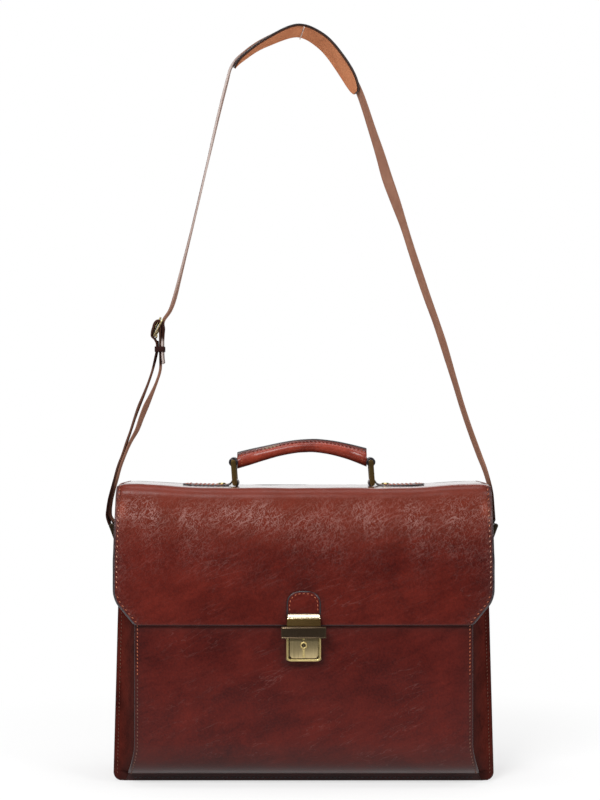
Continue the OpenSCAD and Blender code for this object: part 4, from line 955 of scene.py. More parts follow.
def make_flap(work):
    """The flap: leather with painted edges, side seams, board and lining, and its hinge at the back."""
    path, run = flap_path()
    hw = flap_hw(path[:, 1])
    slope = np.gradient(hw, run)
    seam_at = 3.7 * np.sqrt(1 + slope ** 2)
    pitch = work.flap_pitch / MM

    def lift(x, y, z, from_edge):
        pulled = groove(from_edge, seam_at[:, None], run, pitch, 0.42)
        rounded = -0.75 * np.exp(-(from_edge / 1.2) ** 2)
        pucker = np.cos(2 * np.pi * run / pitch + 0.8)[:, None] * np.exp(-((from_edge - 5.5) / 4.5) ** 2) * 0.13
        pulled = pulled + pucker * ease(-z, -325, -240) ** 0.5
        wavy = 0.25 * np.exp(-from_edge / 5) * np.sin(2 * np.pi * run / 21.0)[:, None]
        corner = -1.9 * np.exp(-(from_edge / 6.0) ** 2) * ease(z, 268, 298) * ease(-y, 20, 55)
        return flap_lift(x, y, z, from_edge) + pulled + rounded + wavy + corner

    face, back, x, from_edge, n = wrapped(path, hw, 2.6, lift)
    face, back = seat_on_top(face, path), seat_on_top(back, path)
    low = np.exp(-(path[:, 1] - FLAP_LOW) / 2.0)[:, None] * 0.25 * (path[:, 0] < 0)[:, None]
    tab = np.hypot(np.maximum(np.abs(x) - 6, 0), np.maximum(path[:, 1:2] - FLAP_LOW - 22, 0)) - 12.5
    burnish_and_shade = 0.45 * np.exp(-from_edge / 2.6) + (0.3 + 0.15 * np.sign(x)) * np.exp(-from_edge / 8.5) + low
    # painted shade in a halo round the hasp tab
    burnish_and_shade = burnish_and_shade + 0.45 * np.exp(-np.clip(tab, 0, None) / 3.0) * (path[:, 0] < 0)[:, None]
    holes = np.exp(-((from_edge - seam_at[:, None]) / 0.9) ** 2) * (0.5 - 0.5 * np.cos(2 * np.pi * run / pitch))[:, None]
    burnish_and_shade = np.clip(burnish_and_shade + 0.7 * holes, 0, 1)
    # wrinkles where the leather turns over the front edge, with painted highlights along their lines
    over = np.exp(-((run - 142.0) / 15.0) ** 2)[:, None] + 0.3 * np.exp(-((run - 165.0) / 36.0) ** 2)[:, None]
    patchy = np.clip(0.7 + ripple(x, run[:, None] + 0 * x, 41, 60, 0.35), 0.25, 1)
    creases_and_glint = np.clip(over * patchy + 0.35 * np.exp(-from_edge / 9) * ease(-path[:, 1:2], -300, -240) ** 0.5, 0, 1)
    creases_and_glint = creases_and_glint * (path[:, 0] < -45)[:, None] * ease(run, 120, 130)[:, None]
    # painted sheen: a lighter, warmer band where the flap turns over its front edge, and painted highlight blobs at its
    # top corners
    painted_sheen = (ease(run, 100, 110) * ease(-run, -190, -132))[:, None] * 0.4
    painted_sheen = painted_sheen + 0.7 * np.exp(-((from_edge - 6.0) / 5.0) ** 2) * np.exp(-((run - 141.0) / 8.0) ** 2)[:, None]
    polished = ease(-run, -116, -108)[:, None] + 0 * from_edge
    piece = sheet("flap_hide", face, back, [LOOKS["flap_hide"], LOOKS["edge_paint"], LOOKS["flesh"]],
                  {"burnish_and_shade": burnish_and_shade, "creases_and_glint": creases_and_glint, "painted_sheen": painted_sheen, "polished": polished},
                  bulge=0.6, painted=(3, 0, 0))
    place(piece, "flap", ["flap_leather"])

    sewing = Bundle()
    for side in (-1, 1):
        line = np.stack([side * (hw - seam_at), path[:, 0], path[:, 1]], 1)
        line[:, 2] += flap_rise(line[:, 0], np.minimum(line[:, 1], 60)) * ease(path[:, 1], 236, 304)
        normals = row_normals(path)
        line = line - normals * 0.22
        z = path[:, 1]
        slant_row = (z < 207) & (path[:, 0] < 0)
        front = path[:, 0] < -50
        for part, look in ((~slant_row & (z > 296) & front, 0), (~slant_row & (z <= 296), 1), (slant_row, 0),
                           (~front, 2)):
            part = np.append(part[:-1], False)
            stitches(sewing, line[part], normals[part], pitch, length=2.4, width=0.85, rise=0.42,
                     slant=-24 * side, look=look)
    place(sewing.piece("flap_sewing", [LOOKS["thread"], LOOKS["pale_thread"], LOOKS["red_thread"]]), "flap")

    inner, inner_run = flap_path(HIDE_T + 0.02, 53.0, FLAP_LOW + 2.6, 3.0)
    face, back, x, from_edge, n = wrapped(inner, flap_hw(inner[:, 1] - 1.5), 8.0, flap_lift, 1.5, inset=2.6,
                                          rim=(0, 0.6, 1.4, 3.0, 6.0))
    face, back = seat_on_top(face, inner), seat_on_top(back, inner)
    piece = sheet("flap_inside", face, back, [LOOKS["board"], LOOKS["edge_paint"], LOOKS["lining"]], bulge=0.25)
    place(piece, "flap", ["flap_board", "flap_lining"])

    line = smooth_route([(64.0, 286.0), (64.0, 296.0), (64.0, 306.0), (63.9, 311.5), (62.6, 315.2), (60.0, 317.2),
                         (57.0, 317.5), (53.4, 317.5)], 8)
    strip, strip_run = walk(line, 0.9)
    hw = np.full(len(strip), 197.3)
    face, back, x, from_edge, n = wrapped(strip, hw, 4.0,
                                          lambda x, y, z, d: -0.35 * np.exp(-(d / 1.3) ** 2)
                                          + groove(d, 3.7, strip_run, pitch, 0.3))
    share = ease(face[..., 2], 288, 314)
    for grid in (face, back):
        grid[..., 2] += flap_rise(grid[..., 0], np.minimum(grid[..., 1], 60)) * share
    burnish_and_shade = 0.7 * np.exp(-from_edge / 3.2) + 0.6 * np.exp(-(face[..., 2] - 286) / 2.5)
    hinge = sheet("hinge_hide", face, back, [LOOKS["flap_hide"], LOOKS["edge_paint"], LOOKS["flesh"]],
                  {"burnish_and_shade": np.clip(burnish_and_shade, 0, 1), "creases_and_glint": 0 * burnish_and_shade}, bulge=0.5)
    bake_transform(hinge)
    sewing = Bundle()
    xs = np.linspace(-192, 192, 400)
    line = np.stack([xs, np.full_like(xs, 64.05), np.full_like(xs, 289.6)], 1)
    stitches(sewing, line, np.tile([0.0, 1.0, 0.0], (len(xs), 1)), pitch, length=3.7, width=0.9, rise=0.4)
    place(sewing.piece("hinge_sewing", [LOOKS["thread"]]), "case")

    # the leather tab behind the hasp plate
    r, top = 17.4, FLAP_LOW + 36
    drop = np.concatenate([[0.05], np.linspace(0.35, 17.4, 26) ** 1.0])
    hw = np.concatenate([r * (1 - np.clip(1 - drop / 15.5, 0, 1) ** 2.5) ** (1 / 2.5)])
    z = np.concatenate([top - drop, np.linspace(top - 18.6, FLAP_LOW + 0.3, 14)])
    hw = np.concatenate([hw, np.full(14, r)])
    from_top = top - z
    shares = np.sin(np.linspace(-np.pi / 2, np.pi / 2, 35))
    x = hw[:, None] * shares[None, :]
    zz = np.repeat(z[:, None], x.shape[1], 1)
    slope = np.hypot(1, np.gradient(hw, -z))
    to_edge = np.minimum((hw[:, None] - np.abs(x)) / slope[:, None], from_top[:, None] + 0 * x)
    y = DROP_Y - 1.7 + 0.7 * np.exp(-(to_edge / 0.9) ** 2) + 0.35 * np.exp(-((to_edge - 2.5) / 0.7) ** 2)
    face = np.stack([x, y, zz], 2)
    back = np.stack([x, np.full_like(x, DROP_Y + 0.3), zz], 2)
    piece = sheet("hasp_tab_hide", face, back, [LOOKS["flap_hide"], LOOKS["edge_paint"], LOOKS["flesh"]],
                  {"burnish_and_shade": 0.6 * np.exp(-to_edge / 1.6) + 0.4 * np.exp(-(zz - 186) / 3.0), "creases_and_glint": 0 * x},
                  bulge=0.6, painted=(3, 2, 0))
    place(piece, "flap", ["hasp_tab"])
    sewing = Bundle()
    rs = r - 2.6
    arch_hw = rs * (1 - np.clip(1 - np.linspace(0.02, 13.0, 40) / 13.0, 0, 1) ** 2.4) ** (1 / 2.4)
    arch_z = top - 2.6 - np.linspace(0.02, 13.0, 40)
    half = np.concatenate([[(0.0, top - 2.6)], np.stack([arch_hw, arch_z], 1), [(rs, FLAP_LOW + 14)]])
    arch = walk(np.concatenate([half[::-1] * np.array([-1, 1]), half[1:]]), 0.5)[0]
    line = np.stack([arch[:, 0], np.full(len(arch), DROP_Y - 1.5), arch[:, 1]], 1)
    stitches(sewing, line, np.tile([0.0, -1.0, 0.0], (len(line), 1)), 4.4, length=2.3, width=0.8, rise=0.4, slant=12)
    place(sewing.piece("hasp_tab_sewing", [LOOKS["thread"]]), "flap")


# ---------------------------------------------------------------- lock and brass

def lock_shape(hw, z0, z1, r, top=0.0, steps=8):
    """Front view outline with round bottom corners, and round top corners if top is given."""
    low = arc2((hw - r, z0 + r), r, 0, -90, steps)
    high = arc2((hw - top, z1 - top), top, 90, 0, 5) if top else np.array([(hw, z1)])
    right = np.concatenate([high, low])
    left = right[::-1] * np.array([-1, 1])
    return np.concatenate([right, left])


def loops_solid(rings, look_of_ring=None, cap=True):
    """A solid from closed rings of equal length, in order."""
    m = len(rings[0])
    verts = np.concatenate(rings)
    faces, looks = [], []
    for k in range(len(rings) - 1):
        for j in range(m):
            b = (j + 1) % m
            faces.append((k * m + j, k * m + b, (k + 1) * m + b, (k + 1) * m + j))
            looks.append(0 if look_of_ring is None else look_of_ring[k])
    if cap:
        faces.append(tuple(range(m))[::-1])
        faces.append(tuple((len(rings) - 1) * m + j for j in range(m)))
        looks += [looks[0], looks[-1]]
    return verts, fix_turn(verts, faces), looks


def make_lock(work):
    """The lock: framed case, brushed face with its ridge, keyhole ring, release bar and hasp plate."""
    # the case's rounded frame: rings from the back, over the front edge, into the recess, whose floor takes the dark
    # bronze as painted shade
    y_back = FRONT_Y - 2.2
    rings = []
    for hw_in, y in ((0.0, y_back), (0.0, LOCK_FRONT + 3.4), (0.15, LOCK_FRONT + 2.2), (0.6, LOCK_FRONT + 1.1),
                     (1.3, LOCK_FRONT + 0.35), (2.1, LOCK_FRONT), (2.7, LOCK_FRONT + 0.12),
                     (3.1, LOCK_FRONT + 0.5), (3.25, LOCK_FRONT + 1.2)):
        o = lock_shape(18.8 - hw_in, LOCK_LOW + hw_in, LOCK_TOP - 0.3 * min(hw_in, 1), max(5.0 - hw_in, 1.8))
        rings.append(xz_at(o[:, 0], o[:, 1], np.full(len(o), y)))
    solid = Bundle()
    verts, faces, looks = loops_solid(rings)
    solid.add(verts, faces, [0] * (len(faces) - 1) + [1])
    piece = solid.piece("lock_frame", [LOOKS["brass"], LOOKS["bronze"]], sharp=50)
    place(piece, "case", ["lock_case"])

    # the face: chamfered lower corners, a raised ridge above and below the keyhole
    top = FLAP_LOW - 0.4 - 12.4 - 0.15
    o = np.array([(15.2, top), (15.2, LOCK_LOW + 6.6), (12.6, LOCK_LOW + 4.1), (-12.0, LOCK_LOW + 4.1),
                  (-14.6, LOCK_LOW + 6.6), (-14.6, top)])
    solid = Bundle()
    verts, faces, looks = plate_parts(o, xz_at, LOCK_FRONT + 0.1, LOCK_FRONT + 0.9, bevel=0.35, steps=3, both=False)
    solid.add(verts, faces, 0)
    for z0, z1 in ((LOCK_LOW + 4.6, KEY_Z - 4.4), (KEY_Z + 5.6, top - 0.4)):
        rings = []
        for s, y in ((1.15, 0.12), (1.0, -0.1), (0.8, -0.2)):
            rings.append(np.array([(-s, LOCK_FRONT + y, z0), (s, LOCK_FRONT + y, z0),
                                   (s, LOCK_FRONT + y, z1), (-s, LOCK_FRONT + y, z1)]))
        verts, faces, looks = loops_solid(rings)
        solid.add(verts, faces, 1)
    piece = solid.piece("lock_face_plate", [LOOKS["face_brass"], LOOKS["ridge_brass"]], sharp=40)
    place(piece, "case", ["lock_face"])

    # the keyhole ring, pointed at the top
    a = np.linspace(0, 2 * np.pi, 48, endpoint=False)
    point = np.exp(-((a - np.pi / 2) / 0.32) ** 2)
    outer = np.stack([3.6 * np.cos(a), 3.6 * np.sin(a) + 0.7 * point], 1)
    inner = np.stack([2.14 * np.cos(a), 2.14 * np.sin(a)], 1)
    rings = []
    for share, y in ((0.0, 0.2), (0.0, -0.5), (0.12, -0.95), (0.35, -1.25), (0.65, -1.3), (0.9, -1.1), (1.0, -0.7),
                     (1.0, 0.1)):
        o = outer * (1 - share) + inner * share
        rings.append(xz_at(o[:, 0], KEY_Z + o[:, 1], np.full(len(o), LOCK_FRONT + y)))
    solid = Bundle()
    verts, faces, looks = loops_solid(rings, cap=False)
    m = len(a)
    faces = list(faces) + [((len(rings) - 1) * m + j, (len(rings) - 1) * m + (j + 1) % m, (j + 1) % m, j)
                           for j in range(m)]
    solid.add(verts, fix_turn(verts, faces), 0)
    place(solid.piece("keyhole_ring", [LOOKS["ridge_brass"]], sharp=60), "case", ())

    # the release bar: thin bright top lip over a dark face
    hw, z1 = 23.6, FLAP_LOW - 0.4
    z0 = z1 - 12.4
    y0 = LOCK_FRONT - 0.3
    y1 = y0 - 3.9
    profile = [(y0, z0), (y1 + 0.8, z0), (y1 + 0.1, z0 + 0.2), (y1 - 0.2, z0 + 0.6), (y1 - 0.1, z0 + 1.0),
               (y1 + 0.45, z0 + 1.5), (y1 + 0.45, z1 - 2.0), (y1 - 0.1, z1 - 1.5), (y1 + 0.25, z1 - 0.6),
               (y1 + 1.0, z1 - 0.1), (y1 + 2.0, z1), (y0, z1)]
    profile = np.array(profile)
    rings = []
    for x, shrink in ((-hw, 0.86), (-hw + 0.25, 0.95), (-hw + 0.8, 1.0), (-8.0, 1.0), (8.0, 1.0),
                      (hw - 0.8, 1.0), (hw - 0.25, 0.95), (hw, 0.86)):
        mid = np.array([y0, (z0 + z1) / 2])
        o = mid + (profile - mid) * np.array([shrink, 0.5 + shrink / 2])
        rings.append(np.stack([np.full(len(o), x), o[:, 0], o[:, 1]], 1))
    solid = Bundle()
    verts, faces, looks = loops_solid(rings)
    solid.add(verts, faces, 0)
    stem_low = z1 - 8.2
    o = np.array([(-3.9, stem_low), (3.9, stem_low), (3.9, stem_low + 4), (-3.9, stem_low + 4)])
    verts, faces, looks = plate_parts(o, xz_at, y0 - 0.2, LOCK_FRONT + 3.6, bevel=0.1, steps=1)
    solid.add(verts, faces, 0)
    place(solid.piece("lock_bar", [LOOKS["bronze"]], sharp=38), "release_bar", ["release_bar"])

    # the hasp plate: rounded upper corners, its upward-facing bevel bright as a painted highlight, over a mottled face
    y0, y1 = DROP_Y - 1.6, DROP_Y - 1.6 - 6.3
    z0, z1 = FLAP_LOW - 0.2, FLAP_LOW + 12.4
    stations = [(0.0, 0.0, y0), (0.0, 0.0, y1 + 5.0), (0.05, 0.3, y1 + 4.3), (0.15, 1.1, y1 + 3.4),
                (0.25, 2.2, y1 + 2.2), (0.35, 3.4, y1 + 1.1), (0.5, 4.6, y1 + 0.15), (0.7, 5.3, y1)]
    rings = []
    for side_in, top_in, y in stations:
        low_in = 0.35 * side_in
        top_r = 3.0 if top_in < 1.0 else 1.4
        right = np.concatenate([arc2((17.9 - side_in - top_r, z1 - top_in - top_r), top_r, 90, 0, 8),
                                [(17.9 - side_in * 0.5, z0 + low_in)]])
        o = np.concatenate([right, right[::-1] * np.array([-1, 1])])
        rings.append(xz_at(o[:, 0], o[:, 1], np.full(len(o), y)))
    solid = Bundle()
    verts, faces, looks = loops_solid(rings)
    m = len(rings[0])
    up = [unit(np.cross(verts[f[1]] - verts[f[0]], verts[f[2]] - verts[f[0]]))[2] for f in faces]
    # faces of the bevel that look upwards take the bright brass, a painted highlight; the rest take olive brass
    solid.add(verts, faces, [0 if m <= k < 7 * m and up[k] > 0.4 else 1 for k in range(len(faces))])
    for o, ya, yb in ((np.array([(-12, FLAP_LOW - 1.5), (12, FLAP_LOW - 1.5), (12, FLAP_LOW - 0.1), (-12, FLAP_LOW - 0.1)]),
                       y0 - 2.8, DROP_Y + 2.0),
                      (np.array([(-8, FLAP_LOW - 5.2), (8, FLAP_LOW - 5.2), (8, FLAP_LOW - 1.2), (-8, FLAP_LOW - 1.2)]),
                       DROP_Y + 0.2, DROP_Y + 2.0)):
        verts, faces, looks = plate_parts(o, xz_at, ya, yb, bevel=0.25, steps=2)
        solid.add(verts, faces, 0)
    piece = solid.piece("hasp_plate_brass", [LOOKS["bright_brass"], LOOKS["olive_brass"], LOOKS["olive_brass"]],
                        sharp=32)
    place(piece, "flap", ["hasp_plate"])


def dress_metal(work):
    """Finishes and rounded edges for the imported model's own brass, boards and linings."""
    metal = {"lock_base": "brass", "key_plug": "bronze", "latch_bolt": "brass", "bar_springs": "brass",
             "lock_inner_plate": "brass", "lock_rivets": "brass", "hasp_rivets": "brass", "tab_studs": "brass",
             "handle_ring_left": "olive_brass", "handle_ring_right": "olive_brass", "lug_pivots": "bronze",
             "lug_studs": "bronze", "side_ring_left": "bronze", "side_ring_right": "bronze",
             "buckle_prong": "brass"}
    plain = {"front_board": "board", "divider_board": "board", "bottom_board": "board", "back_board": "board",
             "front_lining": "lining", "divider_lining": "lining", "back_lining": "lining", "grip_core": "board"}
    bevel = {"handle_ring_left": 0.7, "handle_ring_right": 0.7, "side_ring_left": 0.7, "side_ring_right": 0.7,
             "tab_studs": 0.35, "lug_pivots": 0.35, "lug_studs": 0.35, "key_plug": 0.08, "lock_base": 0.3}
    for node, look in {**metal, **plain}.items():
        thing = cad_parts[node]
        thing.data.materials.clear()
        thing.data.materials.append(LOOKS[look])
        thing.data.polygons.foreach_set("use_smooth", np.ones(len(thing.data.polygons), bool))
        thing.data.set_sharp_from_angle(angle=math.radians(35))
        if node in bevel:
            weld = thing.modifiers.new("join", "WELD")
            weld.merge_threshold = 0.00001
            edge = thing.modifiers.new("rounded", "BEVEL")
            edge.width = bevel[node] * MM
            edge.segments = 3
            edge.limit_method = "ANGLE"
            edge.angle_limit = math.radians(40)
            edge.harden_normals = False


# ---------------------------------------------------------------- handle

def strap_sheet(line, hw, y_mid, thickness, across=15, crown=0.0):
    """Face and back grids of a strap whose line lies in X and Z and whose width runs along Y."""
    line = np.asarray(line, float)
    t = unit(np.gradient(line, axis=0))
    n = np.stack([-t[:, 1], t[:, 0]], 1)
    shares = np.sin(np.linspace(-np.pi / 2, np.pi / 2, across))
    y = y_mid + np.asarray(hw)[:, None] * shares[None, :]
    up = crown * (1 - shares ** 2) - 0.3 * np.exp(-((1 - np.abs(shares)) * np.mean(hw) / 1.2) ** 2)
    half = np.broadcast_to(np.asarray(thickness, float) / 2, (len(line), 1))
    x = line[:, 0][:, None] + n[:, 0][:, None] * (half + up[None, :])
    z = line[:, 1][:, None] + n[:, 1][:, None] * (half + up[None, :])
    face = np.stack([x, y, z], 2)
    x = line[:, 0][:, None] - n[:, 0][:, None] * half + 0 * y
    z = line[:, 1][:, None] - n[:, 1][:, None] * half + 0 * y
    back = np.stack([x, y, z], 2)
    return face, back


def make_handle(work):
    """The tabs on the flap, the stitched grip and the leather loops round the rings."""
    looks = [LOOKS["flap_hide"], LOOKS["edge_paint"], LOOKS["flesh"]]
    for side, name in ((1, "right"), (-1, "left")):
        bar = (RING_X, RING_Z)
        loop_r = 2.2 + 0.35 + 1.0
        turn = arc2(bar, loop_r, 250, 24, 26)
        line = np.concatenate([turn,
                               [(RING_X + 4.6, 320.2), (RING_X + 6.6, 318.9), (RING_X + 9.6, 318.45),
                                (RING_X + 14.0, 318.4), (RING_X + 24.0, 318.4), (RING_X + 40.0, 318.4),
                                (RING_X + 56.8, 318.4)]])
        line, run = walk(smooth_route(line, 3), 1.0)
        total = run[-1]
        hw = 10.4 + 2.5 * ease(line[:, 0], RING_X + 5.5, RING_X + 14)
        end = np.clip((total - run) / 12.9, 0.004, 1)
        hw = np.minimum(hw, 12.9 * np.sqrt(np.clip(1 - (1 - end) ** 2, 0, 1)) + 0.05)
        line[:, 1] += flap_rise(line[:, 0], 0) * ease(line[:, 0], RING_X + 4, RING_X + 12)
        face, back = strap_sheet(line, hw, 0.0, 2.0)
        flip = np.array([side, 1, 1])
        piece = sheet("tab_hide_" + name, face * flip, back * flip, looks,
                      {"burnish_and_shade": 0.3 + 0 * face[..., 0], "creases_and_glint": 0 * face[..., 0]}, bulge=0.5)
        place(piece, "flap", ["handle_tab_" + name])
        sewing = Bundle()
        keep = (line[:, 0] > RING_X + 10) & (run < total - 9)
        for y_side in (-1, 1):
            seam = np.stack([side * line[keep, 0], y_side * (hw[keep] - 2.4), line[keep, 1] + 1.0], 1)
            stitches(sewing, seam, np.tile([0.0, 0.0, 1.0], (len(seam), 1)), 4.6, length=3.2)
        a = np.linspace(-78, 78, 30)
        seam = np.stack([side * (RING_X + 43.9 + 10.5 * np.cos(np.radians(a))), 10.5 * np.sin(np.radians(a)),
                         np.full(30, 319.45) + flap_rise(RING_X + 50, 0)], 1)
        stitches(sewing, seam, np.tile([0.0, 0.0, 1.0], (30, 1)), 4.6, length=3.2)
        for x in (RING_X + 9.4, RING_X + 24.5):
            top = np.interp(x, line[:, 0][30:], line[:, 1][30:]) + 1.0
            seam = np.stack([np.full(20, side * x), np.linspace(-8.6, 8.6, 20), np.full(20, top)], 1)
            stitches(sewing, seam, np.tile([0.0, 0.0, 1.0], (20, 1)), 4.4, length=3.0)
        place(sewing.piece("tab_sewing_" + name, [LOOKS["thread"]]), "flap")

    # the grip: a leather cover with upright ends, closed by a painted edge along its top
    low = smooth_route([(-72.6, 336.8), (-58.6, 341.0), (-42.2, 346.2), (-25.8, 350.8), (-9.4, 353.9), (1.6, 354.8),
                        (12.5, 354.8), (28.9, 352.4), (45.3, 348.1), (56.2, 344.2), (69.0, 339.0)], 12)
    high = smooth_route([(-72.6, 354.0), (-58.6, 357.4), (-42.2, 360.9), (-25.8, 364.4), (-9.4, 367.2), (7.0, 368.4),
                         (18.0, 368.2), (34.4, 366.2), (50.8, 362.9), (69.0, 358.4)], 12)
    xs = np.linspace(-72.4, 68.8, 190)
    z_low, z_high = np.interp(xs, low[:, 0], low[:, 1]) - 1.1, np.interp(xs, high[:, 0], high[:, 1]) + 0.1
    right = smooth_route([(0.0, -6.1), (2.6, -5.6), (4.9, -3.8), (6.1, -1.2), (6.0, 1.6), (4.6, 4.0), (2.8, 5.6),
                          (1.95, 6.7), (1.75, 7.6), (1.2, 8.15), (0.0, 8.3)], 4)
    section = np.concatenate([right, right[-2:0:-1] * np.array([-1, 1])])
    m = len(section)
    share = np.abs((xs + 1.8) / 70.6)
    wide = 1 + 0.5 * ease(share, 0.72, 0.98)
    rings = []
    for k, at in enumerate(xs):
        up = (section[:, 1] + 6.1) / 14.4
        near_seam = np.exp(-((section[:, 1] - 5.2) / 0.9) ** 2) * (0.05 + 0.03 * math.cos(2 * math.pi * at / 4.3))
        wob = ripple(np.full(m, at), section[:, 0] * 3 + section[:, 1], 51, 26, 0.08)
        y = section[:, 0] * wide[k] * (1 - near_seam * 2) + wob * np.sign(section[:, 0])
        end = 0.5 * np.exp(-min(k, 189 - k) / 0.7)
        rings.append(np.stack([np.full(m, at), y * (1 - 0.1 * end), z_low[k] + up * (z_high[k] - z_low[k]) + (0.5 - up) * end], 1))
    painted = np.tile((section[:, 1] > 7.0) & (np.roll(section[:, 1], -1) > 7.0), len(rings) - 1)
    verts, faces, looks_of = loops_solid(rings)
    looks_of = [1 if p else 0 for p in painted] + [1, 1]
    cover = Bundle()
    cover.add(verts, faces, looks_of)
    piece = cover.piece("grip_hide", [LOOKS["grip_hide"], LOOKS["edge_paint"]])
    layer = piece.data.attributes.new("burnish_and_shade", "FLOAT", "POINT")
    # darker at the ends and along the sewn fin at the top, and painted shade under the tube
    dark = np.repeat(0.35 * ease(share, 0.93, 1.0), m) + np.tile(0.85 * ease(section[:, 1], 4.2, 6.0) + 0.3 * ease(-section[:, 1], 2.5, 5.5), len(rings))
    layer.data.foreach_set("value", np.clip(dark, 0, 1).astype(np.float32))
    place(piece, "grip", ["grip_cover"])
    sewing = Bundle()
    for y_side in (-1, 1):
        keep = share < 0.93
        up = (5.4 + 6.1) / 14.4
        line = np.stack([xs, y_side * 3.0 * wide ** 0.5, z_low + up * (z_high - z_low)], 1)[keep]
        stitches(sewing, line, np.tile([0.0, y_side * 0.9, 0.45], (keep.sum(), 1)), 4.3, length=3.0, width=0.9,
                 rise=0.45, slant=14 * y_side, look=1)
        for k in (7, 182):
            t = np.linspace(0.12, 0.9, 30)
            y = np.interp(t * 14.4 - 6.1, right[:, 1], right[:, 0]) * wide[k] + 0.05
            line = np.stack([np.full(30, xs[k]), y_side * y, z_low[k] + t * (z_high[k] - z_low[k])], 1)
            stitches(sewing, line, np.tile([0.0, float(y_side), 0.0], (30, 1)), 3.0, length=2.1, width=0.9,
                     rise=0.45, look=0)
    place(sewing.piece("grip_sewing", [LOOKS["thread"], LOOKS["red_thread"]]), "grip")

    # the loops: leather wound round each ring's upper bar
    loops = Bundle()
    for x in (-RING_X, RING_X):
        c = np.array([x + RING_TOP_DX, RING_TOP_Z])
        for r0, r1, y1 in ((3.5, 5.0, 10.5), (2.32, 3.4, 10.1)):
            a = np.linspace(0, 2 * np.pi, 40, endpoint=False)
            rings = []
            for r, y in ((r0, -y1 + 0.2), (r0 + 0.3, -y1), (r1 - 0.35, -y1), (r1, -y1 + 0.4), (r1, -3.0), (r1, 3.0),
                         (r1, y1 - 0.4), (r1 - 0.35, y1), (r0 + 0.3, y1), (r0, y1 - 0.2)):
                rings.append(np.stack([c[0] + r * np.cos(a), np.full(40, y), c[1] + r * np.sin(a)], 1))
            rings.append(rings[0])
            verts, faces, lk = loops_solid(rings[:-1], cap=False)
            mm = 40
            faces = list(faces) + [((len(rings) - 2) * mm + j, (len(rings) - 2) * mm + (j + 1) % mm, (j + 1) % mm, j)
                                   for j in range(mm)]
            loops.add(verts, fix_turn(verts, faces), 0)
    place(loops.piece("grip_ring_loops", [LOOKS["edge_paint"]], sharp=50), "grip", ["grip_loops"])


# ---------------------------------------------------------------- strap

def rise_at(k):
    return CASE_H + k * 517.5


LONG_ROUTE = [
    (SIDE_BAR_X - 0.3, LUG_Y, SIDE_BAR_Z + 4.4, 0), (SIDE_BAR_X - 1.0, LUG_Y + 4, SIDE_BAR_Z + 18, 1),
    (211.8, LUG_Y + 10, SIDE_BAR_Z + 36, 3), (208.6, ARCH_Y - 6, 322.4, 5), (204.6, ARCH_Y - 3, 336.0, 7),
    (199.6, ARCH_Y, 349.7, 9), (189.6, ARCH_Y, 377.0, 9), (180.6, ARCH_Y, 404.0, 9), (172.4, ARCH_Y, 431.4, 10),
    (159.8, ARCH_Y, 472.3, 15), (150.8, ARCH_Y, 499.6, 14), (141.0, ARCH_Y, 526.9, 16), (131.8, ARCH_Y, 554.0, 17),
    (122.8, ARCH_Y, 581.4, 16), (114.2, ARCH_Y, 608.7, 17), (104.8, ARCH_Y, 636.0, 26), (95.2, ARCH_Y, 663.0, 30),
    (87.0, ARCH_Y, 690.5, 24), (78.2, ARCH_Y, 717.7, 18), (64.2, ARCH_Y, 762.0, 14),
    (46.4, ARCH_Y, 794.4, 11), (23, ARCH_Y, 822.0, 8), (-7, ARCH_Y, 835.0, 3),
    (-44, ARCH_Y, 821.5, -1), (-68, ARCH_Y, 806.0, -3), (-82, ARCH_Y, 791.5, -4),
    (-88.5, ARCH_Y, 770.0, 0), (-100.6, ARCH_Y, rise_at(0.772), -1), (-113, ARCH_Y, rise_at(0.6676), -5),
    (-126, ARCH_Y, rise_at(0.5614), -4), (-139.4, ARCH_Y, rise_at(0.457), 1), (-146.4, ARCH_Y, 526.9, 4),
    (-151.6, ARCH_Y, 512.5, 2), (-158.2, ARCH_Y, 502.8, 0), (-159.7, ARCH_Y, 497.4, 0), (-158.9, ARCH_Y, 492.4, 0),
    (-159.4, ARCH_Y, 486.5, 0), (-159.8, ARCH_Y, 479.0, 0), (-159.9, ARCH_Y, 470.0, 0), (-159.7, ARCH_Y, 460.0, 0),
    (-158.9, ARCH_Y, 452.6, 0)]
LOWER_BAR = (BUCKLE[0] - BUCKLE_H / 2 * math.sin(BUCKLE_LEAN), ARCH_Y,
             BUCKLE[2] - BUCKLE_H / 2 * math.cos(BUCKLE_LEAN))
OUTER_LAYER = [
    (-166.0, ARCH_Y, 478.0, 0), (-166.2, ARCH_Y, 468.5, 0), (-168.2, ARCH_Y, 458.7, 0), (-171.6, ARCH_Y, 445.1, -2),
    (-176.1, ARCH_Y, 431.4, -2), (-181.4, ARCH_Y, 417.8, 0), (-187.0, ARCH_Y, 404.2, 2), (-191.8, ARCH_Y, 390.6, 0),
    (-196.2, ARCH_Y, 376.9, -1), (-200.9, ARCH_Y, 363.3, 0), (-205.4, ARCH_Y, 349.7, 0), (-210.1, ARCH_Y - 3, 336.0, 0),
    (-213.5, ARCH_Y - 6, 322.4, 0), (-216.5, LUG_Y + 12, 309.6, 0), (-218.8, LUG_Y + 7, 298.0, 1),
    (-220.0, LUG_Y + 4, 287.0, 2), (-219.9, LUG_Y + 1.5, 279.5, 2), (-SIDE_BAR_X - 3.1, LUG_Y, SIDE_BAR_Z, 0)]
